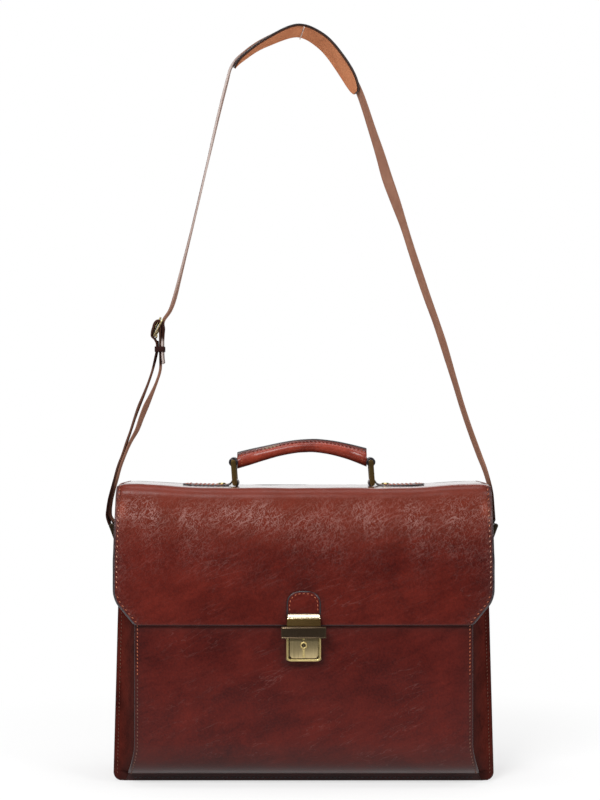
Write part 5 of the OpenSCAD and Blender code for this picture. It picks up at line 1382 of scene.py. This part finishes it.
INNER_LAYER = [
    (-162.5, ARCH_Y, 478.0, 0), (-162.7, ARCH_Y, 468.5, 0), (-162.5, ARCH_Y, 458.7, 0), (-162.9, ARCH_Y, 445.1, 0),
    (-167.1, ARCH_Y, 431.4, 0), (-172.8, ARCH_Y, 417.8, 5), (-179.0, ARCH_Y, 404.2, 12), (-184.4, ARCH_Y, 390.6, 10),
    (-189.4, ARCH_Y, 376.9, 7), (-196.8, ARCH_Y, 363.3, 3), (-202.6, ARCH_Y, 349.7, 0), (-207.4, ARCH_Y - 3, 336.0, 0),
    (-210.8, ARCH_Y - 6, 322.4, 0), (-213.9, LUG_Y + 12, 309.6, 0), (-216.3, LUG_Y + 7, 298.0, 1),
    (-217.5, LUG_Y + 4, 287.0, 2), (-216.4, LUG_Y + 1.5, 279.5, 2), (-SIDE_BAR_X + 3.1, LUG_Y, SIDE_BAR_Z + 1.0, 0)]
# the loose fold round the buckle's lower bar, seen from the front
BUCKLE_FOLD = [(-166.0, 468.0), (-166.2, 475.0), (-168.6, 479.9), (-171.7, 483.2), (-171.4, 488.0), (-169.8, 493.0),
               (-168.6, 497.2), (-165.9, 500.4), (-163.2, 500.2), (-162.4, 496.0), (-162.6, 490.0), (-162.6, 482.0),
               (-162.5, 475.0), (-162.6, 468.0)]
# the buckle's frame, seen along the strap
BUCKLE_WIRE = 0.95


def band_frame(rows):
    """Middle line of a strap, the direction across it and the direction out of it."""
    p = rows[:, :3]
    twist = np.radians(rows[:, 3])[:, None]
    t = np.empty_like(p)
    t[1:-1], t[0], t[-1] = p[2:] - p[:-2], p[1] - p[0], p[-1] - p[-2]
    t = unit(t)
    across = unit(np.array([0.0, 1.0, 0.0]) - t[:, 1:2] * t)
    side = np.cross(t, across)
    turned = across * np.cos(twist) + side * np.sin(twist)
    return p, turned, np.cross(turned, t)


def band_sheet(rows, hw, thickness, lift=0.0, across=13, crown=0.0):
    """Face and back grids of a band along a route."""
    p, turned, out = band_frame(rows)
    hw = np.broadcast_to(np.asarray(hw, float), (len(p),))
    shares = np.sin(np.linspace(-np.pi / 2, np.pi / 2, across))
    to_edge = hw[:, None] * (1 - np.abs(shares))[None, :]
    soft = crown * (1 - shares ** 2)[None, :] - 0.3 * np.exp(-(to_edge / 1.0) ** 2)
    mid = p[:, None] + turned[:, None] * (hw[:, None] * shares[None, :])[..., None]
    face = mid + out[:, None] * (lift + thickness / 2 + soft)[..., None]
    back = mid + out[:, None] * (lift - thickness / 2 - 0.3 * soft)[..., None]
    return face, back, to_edge


def make_lugs(work):
    """The leather lugs on the case's sides: a strap folded over the ring's lower bar."""
    loop_z = LUG_Z + 32.0
    for side, name in ((1, "right"), (-1, "left")):
        t = 2.3
        r = 2.32 + t / 2
        low = LUG_Z - 9.0
        turn = arc2((0.0, loop_z), r, 180, 0, 26)
        line = np.concatenate([[(-1.75, low), (-1.75, LUG_Z + 12), (-1.8, loop_z - 13), (-2.4, loop_z - 7)], turn,
                               [(2.4, loop_z - 7), (1.8, loop_z - 13), (1.75, LUG_Z + 12), (1.75, low)]])
        line, run = walk(smooth_route(line, 4), 0.9)
        from_end = np.minimum(run, run[-1] - run)
        k = np.clip(1 - from_end / 9.0, 0, 0.999)
        hw = 9.0 * np.sqrt(1 - k ** 2)
        line[:, 0] += LUG_X
        face, back = strap_sheet(line, hw, LUG_Y, t)
        flip = np.array([side, 1, 1])
        piece = sheet("lug_hide_" + name, face * flip, back * flip,
                      [LOOKS["dark_hide"], LOOKS["edge_paint"], LOOKS["flesh"]],
                      {"burnish_and_shade": 0.35 + 0 * face[..., 0], "creases_and_glint": 0 * face[..., 0]}, bulge=0.5)
        place(piece, "strap", ["lug_" + name])
        sewing = Bundle()
        for z0, z1 in ((LUG_Z + 6.5, LUG_Z + 12.4), (LUG_Z + 21.0, LUG_Z + 25.5)):
            for y in (-6.4, 6.4):
                seam = np.array([(side * (LUG_X + 2.95), LUG_Y + y, z) for z in np.linspace(z0, z1, 12)])
                stitches(sewing, seam, np.tile([float(side), 0.0, 0.0], (12, 1)), 2.9, length=2.3, width=0.7)
        place(sewing.piece("lug_sewing_" + name, [LOOKS["thread"]]), "strap")


def join_ring(piece):
    """Bakes the strap piece's placement into its mesh."""
    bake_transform(piece)


def behind_flap(p):
    """The straps pass behind the open flap."""
    p[:, 1] += 2.8 * ease(p[:, 2], 325, 348) * ease(-p[:, 2], -482, -440)
    return p


def make_strap(work):
    """The long strap, the short double strap, the keeper and the two layers of the shoulder pad."""
    strap_looks = [LOOKS["strap_hide"], LOOKS["strap_edge"], LOOKS["strap_flesh"]]
    p, run = walk(smooth_route(LONG_ROUTE, 14), 2.2)
    p = behind_flap(p)
    over_pad = ease(run, run[np.argmin(np.hypot(p[:, 0] - 80, p[:, 2] - 718))] - 8, run[np.argmin(np.hypot(p[:, 0] - 64, p[:, 2] - 766))])
    over_pad = over_pad * ease(-run, -run[np.argmin(np.hypot(p[:, 0] + 101, p[:, 2] - 717))],
                               -run[np.argmin(np.hypot(p[:, 0] + 81, p[:, 2] - 788))])
    lift = (-1.1 * over_pad)[:, None]
    face, back, to_edge = band_sheet(p, 9.0, 2.5, lift=lift, crown=0.15)
    z = p[:, 2:3]
    on_left = p[:, 0:1] < 0
    # painted light on the band: a pale sheen on the left leg and on the tail's side face, painted shade on the right
    # leg where it runs down beside the case and on the tail, and burnish at the edges
    pale = (0.6 * ease(z, 500, 560) + 0.35 * ease(z, 580, 700)) * ease(-z, -812, -790)
    tail = on_left * ease(-z, -503, -497)
    marks = {"burnish_and_shade": np.clip(0.2 * np.exp(-to_edge / 1.2) + 1.0 * ~on_left * ease(-z, -335, -300)
                                + 2.0 * tail, 0, 2),
             "creases_and_glint": 0 * to_edge,
             "pale_sheen": np.clip(on_left * pale + tail * ease(-z, -482, -476) + 0 * to_edge, 0, 1)}
    piece = sheet("strap_band", face, back, strap_looks, marks, bulge=0.3, worked=False)
    join_ring(piece)
    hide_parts("strap_long")
    for side, reach, thick, name, hw in ((1, 3.05, 1.6, "right", 9.0), (-1, 3.1, 1.7, "left", 8.5)):
        a = np.radians(np.linspace(-205, 25, 40))
        line = np.stack([SIDE_BAR_X + reach * np.cos(a), SIDE_BAR_Z + reach * np.sin(a)], 1)
        face, back = strap_sheet(line[::-1], np.full(len(line), hw), LUG_Y, thick - 0.1)
        flip = np.array([side, 1, 1])
        piece = sheet("ring_fold_" + name, face * flip, back * flip,
                      [LOOKS["dark_hide"], LOOKS["edge_paint"], LOOKS["strap_flesh"]],
                      {"burnish_and_shade": 0.7 + 0 * face[..., 0], "creases_and_glint": 0 * face[..., 0]}, bulge=0.3)
        place(piece, "side_ring_" + name, ())

    for route, name, looks in ((OUTER_LAYER, "outer", ("strap_hide", "strap_edge", "strap_flesh")),
                               (INNER_LAYER, "inner", ("strap_flesh", "strap_edge", "strap_flesh"))):
        p = behind_flap(walk(smooth_route(route, 12), 1.8)[0])
        face, back, to_edge = band_sheet(p, 8.5, 2.1, crown=0.1)
        z = p[:, 2:3]
        # painted shade: darker towards the buckle and towards the ring, and the outer layer darker all along
        dark = 1.0 * ease(z, 450, 466) + 0.3 * ease(-z, -350, -325) + 0.7 * ease(-z, -325, -300)
        dark = 2.0 * ease(z, 446, 460) + dark + (0.45 if name == "outer" else 0)
        piece = sheet("short_band_" + name, face, back, [LOOKS[k] for k in looks],
                      {"burnish_and_shade": np.clip(dark + 0.25 * np.exp(-to_edge / 1.2), 0, 2), "creases_and_glint": 0 * to_edge},
                      bulge=0.3, worked=False)
        join_ring(piece)
        if name == "outer":
            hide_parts("strap_short")
    # the fold round the buckle's lower bar, split for the prong
    line = walk(smooth_route(BUCKLE_FOLD, 8), 0.9)[0]
    thick = 2.1 + 0.9 * ease(line[:, 1], 484, 492)[::-1, None]
    for y0, y1, name in ((-8.5, -2.1, "near"), (2.1, 8.5, "far")):
        face, back = strap_sheet(line[::-1], np.full(len(line), (y1 - y0) / 2), ARCH_Y + (y0 + y1) / 2, thick, across=9)
        piece = sheet("buckle_fold_" + name, face, back,
                      [LOOKS["strap_hide"], LOOKS["strap_edge"], LOOKS["strap_flesh"]],
                      {"burnish_and_shade": 1.1 + 0 * face[..., 0], "creases_and_glint": 0 * face[..., 0]}, bulge=0.3)
        place(piece, "strap", ())
    # the buckle's frame: round wire bent to a rectangle
    lean = math.radians(27.5)
    corners = []
    for qy, qz, a0 in ((1, 1, 0), (-1, 1, 90), (-1, -1, 180), (1, -1, 270)):
        corners.append(arc2((qy * 8.1, qz * 8.4), 2.0, a0, a0 + 90, 7))
    o = np.concatenate(corners)
    mid = np.array([(LOWER_BAR[0] + 10.5 * math.sin(lean)), (LOWER_BAR[2] + 10.5 * math.cos(lean))])
    loop = np.stack([mid[0] + o[:, 1] * math.sin(lean), ARCH_Y + o[:, 0], mid[1] + o[:, 1] * math.cos(lean)], 1)
    around = np.roll(loop, -1, 0) - np.roll(loop, 1, 0)
    around = unit(around)
    flat = np.array([math.cos(lean), 0.0, -math.sin(lean)])
    rings = []
    for k in range(len(loop)):
        wide = np.cross(around[k], flat)
        a = np.linspace(0, 2 * np.pi, 12, endpoint=False)
        rings.append(loop[k] + BUCKLE_WIRE * (np.cos(a)[:, None] * flat + 1.15 * np.sin(a)[:, None] * wide))
    wire = Bundle()
    m, n = 12, len(loop)
    verts = np.concatenate(rings)
    faces = [(k * m + j, k * m + (j + 1) % m, ((k + 1) % n) * m + (j + 1) % m, ((k + 1) % n) * m + j)
             for k in range(n) for j in range(m)]
    wire.add(verts, fix_turn(verts, faces), 0)
    place(wire.piece("buckle_wire", [LOOKS["face_brass"]]), "strap", ["buckle_frame"])

    # the keeper: a band of leather close round both straps
    x0, x1, zk, hw = -167.7, -158.2, 465.6, 9.2
    rings = []
    for grow, z in ((0.0, 0.0), (0.5, 0.0), (0.7, 0.3), (0.7, 5.7), (0.5, 6.0), (0.0, 6.0)):
        r = 1.0 + grow
        cx, cy = (x0 + x1) / 2, ARCH_Y
        hx, hy = (x1 - x0) / 2 + grow, hw + grow
        corner = []
        for qx, qy, a0 in ((1, 1, 0), (-1, 1, 90), (-1, -1, 180), (1, -1, 270)):
            corner.append(arc2((cx + qx * (hx - r), cy + qy * (hy - r)), r, a0, a0 + 90, 6))
        o = np.concatenate(corner)
        rings.append(xy_at(o[:, 0], o[:, 1], np.full(len(o), zk + z)))
    m = len(rings[0])
    verts, faces, lk = loops_solid(rings, cap=False)
    faces = list(faces) + [((len(rings) - 1) * m + j, (len(rings) - 1) * m + (j + 1) % m, (j + 1) % m, j)
                           for j in range(m)]
    band = Bundle()
    band.add(verts, fix_turn(verts, faces), 0)
    piece = band.piece("keeper_band", [LOOKS["strap_hide"]], sharp=45)
    piece.data.attributes.new("burnish_and_shade", "FLOAT", "POINT").data.foreach_set(
        "value", np.full(len(piece.data.vertices), 1.15, np.float32))
    place(piece, "strap", ["strap_keeper"])

    # the shoulder pad
    fine = smooth_route(LONG_ROUTE, 14)
    first, last = [k for k, row in enumerate(LONG_ROUTE) if row[0] in (64.2, -82)]
    p = fine[first * 14:last * 14 + 1].copy()
    p[:, 3] -= 2 * ease(-p[:, 0], 20, 60)
    s = np.linspace(-1, 1, len(p))
    hw = 24.0 * (1 - np.abs(0.985 * s) ** 8) ** 0.5
    for lift, name, looks, swap in ((-3.4, "pad_upper", ["hide", "edge_paint", "flesh"], "pad_top"),
                                    (-5.2, "pad_under", ["flesh", "strap_edge", "pad_flesh"], "pad_base")):
        face, back, to_edge = band_sheet(p, hw - (0.7 if name == "pad_under" else 0), 1.7, lift=lift, across=33)
        marks = {"burnish_and_shade": np.clip(0.12 * np.exp(-to_edge / 4.0) + 0.1 * ease(-p[:, 0:1], 10, 70), 0, 1),
                 "creases_and_glint": 0 * to_edge}
        piece = sheet(name, face, back, [LOOKS[k] for k in looks], marks, bulge=0.4)
        place(piece, "strap", [swap])
    mid_p, turned, out = band_frame(p)
    sewing = Bundle()
    # a seam across the pad's underside
    k = int(np.argmin(np.abs(mid_p[:, 0] - 0.6)))
    u = np.linspace(-0.98, 1.04, 40)
    line = mid_p[k] + turned[k] * (u * hw[k])[:, None] - out[k] * 6.4 - np.array([2.0, 0, 0]) * u[:, None]
    verts, faces = tube_parts(line, 0.75, 8)
    sewing.add(verts, fix_turn(verts, faces), 0)
    place(sewing.piece("pad_seam", [LOOKS["seam_cord"]]), "strap")


# ---------------------------------------------------------------- stage

def make_stage(light):
    """A pale floor and backdrop, soft lamps in a dark room, and the camera of the photograph."""
    scene = bpy.context.scene
    scene.view_settings.view_transform = "Standard"

    sweep = np.array([(-0.62, 0.0), (-0.3, 0.0), (0.0, 0.0), (0.4, 0.0), (0.9, 0.0)]) * 1000
    xs = np.linspace(-1500, 1500, 9)
    verts = np.array([(x, y, z) for y, z in sweep for x in xs])
    n = len(xs)
    faces = [(i * n + j, i * n + j + 1, (i + 1) * n + j + 1, (i + 1) * n + j)
             for i in range(len(sweep) - 1) for j in range(n - 1)]
    look = bpy.data.materials.new("pale_sweep")
    look.use_nodes = True
    tree = look.node_tree
    shader = tree.nodes["Principled BSDF"]
    shader.inputs["Base Color"].default_value = (0.86, 0.86, 0.86, 1)
    shader.inputs["Roughness"].default_value = 0.9
    seen = add_node(tree, "ShaderNodeLightPath")
    eye = reckon(tree, "MAXIMUM", seen.outputs["Is Camera Ray"],
                 reckon(tree, "MAXIMUM", seen.outputs["Is Glossy Ray"], seen.outputs["Is Transmission Ray"]))
    # plain white away from the case, and the case's own shadow close to it
    at = add_node(tree, "ShaderNodeTexCoord").outputs["Object"]
    away = add_node(tree, "ShaderNodeVectorMath", {0: at}, operation="LENGTH").outputs["Value"]
    plain = remap(tree, away, 0.25, 0.6, light.floor_glow, 1.0)
    glow = add_node(tree, "ShaderNodeEmission", {"Color": (1, 1, 1, 1), "Strength": 1.0})
    both = add_node(tree, "ShaderNodeMixShader", {0: reckon(tree, "MULTIPLY", eye, plain),
                                                  1: shader.outputs["BSDF"], 2: glow.outputs["Emission"]})
    tree.links.new(both.outputs["Shader"], tree.nodes["Material Output"].inputs["Surface"])
    floor = new_piece("sweep", verts, faces, [look])

    # the room: white to the eye, dark to gloss in front and at the sides, as a studio is
    world = bpy.data.worlds.new("studio")
    scene.world = world
    world.use_nodes = True
    tree = world.node_tree
    sky = tree.nodes["Background"]
    seen = add_node(tree, "ShaderNodeLightPath")
    behind = add_node(tree, "ShaderNodeSeparateXYZ",
                      {0: add_node(tree, "ShaderNodeTexCoord").outputs["Generated"]}).outputs["Y"]
    shine = remap(tree, behind, 0.6, 0.88, light.room, 1.0)
    eye = reckon(tree, "MAXIMUM", seen.outputs["Is Camera Ray"], seen.outputs["Is Transmission Ray"])
    plain = reckon(tree, "ADD", reckon(tree, "MULTIPLY", seen.outputs["Is Glossy Ray"], shine),
                   reckon(tree, "MULTIPLY", reckon(tree, "SUBTRACT", 1.0, seen.outputs["Is Glossy Ray"]), light.sky))
    sky.inputs["Color"].default_value = (1, 1, 1, 1)
    tree.links.new(reckon(tree, "MAXIMUM", eye, plain), sky.inputs["Strength"])

    def lamp(name, at, target, size, power, tall=None):
        data = bpy.data.lights.new(name, "AREA")
        data.shape = "RECTANGLE"
        data.size = size
        data.size_y = tall or size
        data.energy = power
        thing = bpy.data.objects.new(name, data)
        scene.collection.objects.link(thing)
        thing.location = at
        thing.rotation_euler = (Vector(target) - Vector(at)).to_track_quat("-Z", "Y").to_euler()

    lamp("key", (-0.9, -2.1, 1.9), (0, 0, 0.25), 1.1, light.key, 0.8)
    lamp("fill", (1.7, -1.8, 1.5), (0, 0, 0.25), 0.6, light.fill)
    lamp("top", (0.0, -0.15, 2.5), (0, 0, 0.3), 1.5, light.top, 1.1)
    lamp("left", (-2.2, 0.1, 1.1), (0, 0, 0.4), 1.0, light.side)
    lamp("right", (2.2, 0.1, 1.1), (0, 0, 0.4), 1.0, light.side)
    lamp("back", (0.6, 2.4, 2.2), (0, 0, 0.3), 1.2, light.back)

    data = bpy.data.cameras.new("photo")
    camera = bpy.data.objects.new("photo", data)
    scene.collection.objects.link(camera)
    camera.location = (-0.0039, -1.862, 0.411)
    camera.rotation_euler = (math.radians(90), 0, 0)
    data.sensor_width = 36.0
    data.lens = 76.64
    data.clip_end = 30.0
    scene.camera = camera


# ---------------------------------------------------------------- the add-on

def length(name, about, value):
    return bpy.props.FloatProperty(name=name, description=about, default=value, unit="LENGTH", subtype="DISTANCE")


def dye(name, about, r, g, b):
    return bpy.props.FloatVectorProperty(name=name, description=about, default=paint(r, g, b), size=3, min=0.0,
                                         max=1.0, subtype="COLOR")


def power(name, about, value):
    return bpy.props.FloatProperty(name=name, description=about, default=value, min=0.0)


class BriefcaseWork(bpy.types.PropertyGroup):
    side_pitch: length("Panel stitch", "Distance from stitch to stitch on the panels", 0.0039)
    bottom_pitch: length("Bottom stitch", "Distance from stitch to stitch along the bottom", 0.0049)
    flap_pitch: length("Flap stitch", "Distance from stitch to stitch on the flap", 0.0054)


class BriefcaseDyes(bpy.types.PropertyGroup):
    hide_deep: dye("Panel, deep", "Darkest dye of the panels", 53, 8, 6)
    hide_warm: dye("Panel, warm", "Lightest dye of the panels", 87, 21, 12)
    flap_deep: dye("Flap, deep", "Darkest dye of the flap", 56, 11, 8)
    flap_warm: dye("Flap, warm", "Lightest dye of the flap", 93, 25, 15)
    grip_deep: dye("Grip, deep", "Darkest dye of the grip", 99, 30, 18)
    grip_warm: dye("Grip, warm", "Lightest dye of the grip", 150, 57, 38)
    dark_deep: dye("Side, deep", "Darkest dye of the sides", 50, 15, 11)
    dark_warm: dye("Side, warm", "Lightest dye of the sides", 92, 34, 26)
    # the pale colour of scuffs, and of the painted highlights on the wrinkle lines
    scuff_and_glint: dye("Crease", "Pale colour that shows in creases and scuffs", 212, 172, 164)
    edge: dye("Painted edge", "Paint on the cut edges", 24, 23, 26)
    edge_worn: dye("Worn edge", "Paint on the cut edges, where it is rubbed", 60, 58, 64)
    flesh: dye("Flesh side", "Inside of the leather", 120, 82, 60)
    flesh_dark: dye("Flesh side, dark", "Inside of the leather, dark", 88, 56, 42)
    strap_light: dye("Strap inside, light", "Inside of the shoulder strap", 160, 118, 98)
    strap_dark: dye("Strap inside, dark", "Inside of the shoulder strap, dark", 140, 100, 83)
    strap_rim: dye("Strap edge", "Edge of the shoulder strap", 134, 98, 80)
    # the strap's pale colour is a painted sheen on its left leg and tail, and also the dark yarn of the pad seam
    strap_pale: dye("Strap, pale", "Inside of the strap where it is rubbed pale", 178, 164, 158)
    pad_light: dye("Pad underside, light", "Underside of the shoulder pad", 214, 144, 104)
    pad_dark: dye("Pad underside, dark", "Underside of the shoulder pad, dark", 196, 126, 90)
    lining: dye("Lining", "Cloth inside the case", 92, 66, 46)
    lining_dark: dye("Lining, dark", "Dark yarn of the cloth", 58, 40, 28)
    board: dye("Board", "Stiffening boards", 140, 128, 108)
    board_dark: dye("Board, dark", "Stiffening boards, dark", 104, 92, 76)
    thread: dye("Thread", "Waxed thread", 172, 92, 56)
    thread_dark: dye("Thread, dark", "Waxed thread, dark", 150, 74, 44)
    dull_thread: dye("Dull thread", "Thread on the dark parts", 120, 76, 56)
    red_thread: dye("Red thread", "Dark red thread", 112, 40, 30)
    pale_thread: dye("Pale thread", "Pale pink thread", 196, 150, 130)
    seam_cord: dye("Pad seam", "Pale cord across the pad's underside", 244, 216, 200)
    brass: dye("Brass", "Bright antique brass", 216, 196, 136)
    # the bright brass is a painted highlight on the hasp's upward-facing bevel
    brass_highlight: dye("Bright brass", "Polished bevel of the hasp plate", 252, 240, 210)
    brass_dull: dye("Dull brass", "Tarnished brass", 98, 84, 48)
    face: dye("Lock face", "Brushed face of the lock", 202, 182, 136)
    olive: dye("Olive brass", "Darkened brass of the rings", 146, 116, 70)
    bronze: dye("Bronze", "Dark metal of the release bar", 100, 84, 66)
    bronze_dark: dye("Dark bronze", "Darkest metal of the release bar", 58, 49, 38)


class BriefcaseLight(bpy.types.PropertyGroup):
    key: power("Key lamp", "Power of the key lamp in watts", 62.0)
    fill: power("Fill lamp", "Power of the fill lamp in watts", 22.0)
    top: power("Top lamp", "Power of the top lamp in watts", 18.0)
    side: power("Side lamps", "Power of each side lamp in watts", 10.0)
    back: power("Back lamp", "Power of the lamp behind in watts", 7.0)
    sky: power("Soft light", "Strength of the soft light from all round", 0.3)
    room: power("Room", "Brightness of the room that gloss shows in front", 0.05)
    floor_glow: power("Pale floor", "Share of plain white in the floor close to the case", 0.6)


class BRIEFCASE_OT_looks(bpy.types.Operator):
    """Make the finishes: leathers, edge paint, linings, thread and brass"""
    bl_idname = "briefcase.looks"
    bl_label = "Finishes"

    def execute(self, context):
        make_looks(context.scene.briefcase_dyes)
        return {"FINISHED"}


class BRIEFCASE_OT_front(bpy.types.Operator):
    """Make the front panel with its seams"""
    bl_idname = "briefcase.front"
    bl_label = "Front Panel"

    def execute(self, context):
        make_front(context.scene.briefcase_work)
        return {"FINISHED"}


class BRIEFCASE_OT_bevels(bpy.types.Operator):
    """Make the two side strips of the front, with their seams"""
    bl_idname = "briefcase.bevels"
    bl_label = "Side Strips"

    def execute(self, context):
        make_bevels(context.scene.briefcase_work)
        return {"FINISHED"}


class BRIEFCASE_OT_panels(bpy.types.Operator):
    """Make the divider and the back panel"""
    bl_idname = "briefcase.panels"
    bl_label = "Divider and Back"

    def execute(self, context):
        make_panels(context.scene.briefcase_work)
        return {"FINISHED"}


class BRIEFCASE_OT_gussets(bpy.types.Operator):
    """Make the folding sides and the base"""
    bl_idname = "briefcase.gussets"
    bl_label = "Gussets and Base"

    def execute(self, context):
        make_gussets(context.scene.briefcase_work)
        return {"FINISHED"}


class BRIEFCASE_OT_flap(bpy.types.Operator):
    """Make the flap, its hinge strip, its inside and the tab behind the hasp"""
    bl_idname = "briefcase.flap"
    bl_label = "Flap"

    def execute(self, context):
        make_flap(context.scene.briefcase_work)
        return {"FINISHED"}


class BRIEFCASE_OT_lock(bpy.types.Operator):
    """Make the lock's frame, face, keyhole ring, release bar and hasp plate"""
    bl_idname = "briefcase.lock"
    bl_label = "Lock"

    def execute(self, context):
        make_lock(context.scene.briefcase_work)
        return {"FINISHED"}


class BRIEFCASE_OT_handle(bpy.types.Operator):
    """Make the handle's tabs, grip and loops"""
    bl_idname = "briefcase.handle"
    bl_label = "Handle"

    def execute(self, context):
        make_handle(context.scene.briefcase_work)
        return {"FINISHED"}


class BRIEFCASE_OT_lugs(bpy.types.Operator):
    """Make the two lugs that hold the side rings"""
    bl_idname = "briefcase.lugs"
    bl_label = "Lugs"

    def execute(self, context):
        make_lugs(context.scene.briefcase_work)
        return {"FINISHED"}


class BRIEFCASE_OT_strap(bpy.types.Operator):
    """Make the shoulder strap, its keeper and its pad"""
    bl_idname = "briefcase.strap"
    bl_label = "Shoulder Strap"

    def execute(self, context):
        make_strap(context.scene.briefcase_work)
        return {"FINISHED"}


class BRIEFCASE_OT_metal(bpy.types.Operator):
    """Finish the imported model's own rings, rivets, springs, boards and linings"""
    bl_idname = "briefcase.metal"
    bl_label = "Fittings and Boards"

    def execute(self, context):
        dress_metal(context.scene.briefcase_work)
        return {"FINISHED"}


class BRIEFCASE_OT_stage(bpy.types.Operator):
    """Set up the pale floor, the lamps and the camera"""
    bl_idname = "briefcase.stage"
    bl_label = "Stage"

    def execute(self, context):
        make_stage(context.scene.briefcase_light)
        return {"FINISHED"}


STEPS = (BRIEFCASE_OT_looks, BRIEFCASE_OT_stage, BRIEFCASE_OT_front, BRIEFCASE_OT_bevels, BRIEFCASE_OT_panels,
         BRIEFCASE_OT_gussets, BRIEFCASE_OT_flap, BRIEFCASE_OT_lock, BRIEFCASE_OT_handle, BRIEFCASE_OT_lugs,
         BRIEFCASE_OT_strap, BRIEFCASE_OT_metal)


class BRIEFCASE_PT_sidebar(bpy.types.Panel):
    """The briefcase's sizes, colours, lamps and pieces"""
    bl_idname = "BRIEFCASE_PT_sidebar"
    bl_label = "Briefcase"
    bl_space_type = "VIEW_3D"
    bl_region_type = "UI"
    bl_category = "Briefcase"

    def draw(self, context):
        layout = self.layout
        for step in STEPS:
            layout.operator(step.bl_idname)
        for title, group in (("Work", "briefcase_work"), ("Lamps", "briefcase_light"), ("Dyes", "briefcase_dyes")):
            box = layout.box()
            box.label(text=title)
            values = getattr(context.scene, group)
            for key in values.bl_rna.properties.keys():
                if key not in {"rna_type", "name"}:
                    box.prop(values, key)


CLASSES = (BriefcaseWork, BriefcaseDyes, BriefcaseLight) + STEPS + (BRIEFCASE_PT_sidebar,)


def register():
    for cls in CLASSES:
        bpy.utils.register_class(cls)
    bpy.types.Scene.briefcase_work = bpy.props.PointerProperty(type=BriefcaseWork)
    bpy.types.Scene.briefcase_dyes = bpy.props.PointerProperty(type=BriefcaseDyes)
    bpy.types.Scene.briefcase_light = bpy.props.PointerProperty(type=BriefcaseLight)


def unregister():
    del bpy.types.Scene.briefcase_light
    del bpy.types.Scene.briefcase_dyes
    del bpy.types.Scene.briefcase_work
    for cls in reversed(CLASSES):
        bpy.utils.unregister_class(cls)


def main():
    register()
    make = bpy.ops.briefcase
    for step in (make.looks, make.stage, make.front, make.bevels, make.panels, make.gussets, make.flap, make.lock,
                 make.handle, make.lugs, make.strap, make.metal):
        step()


if __name__ == "__main__":
    main()
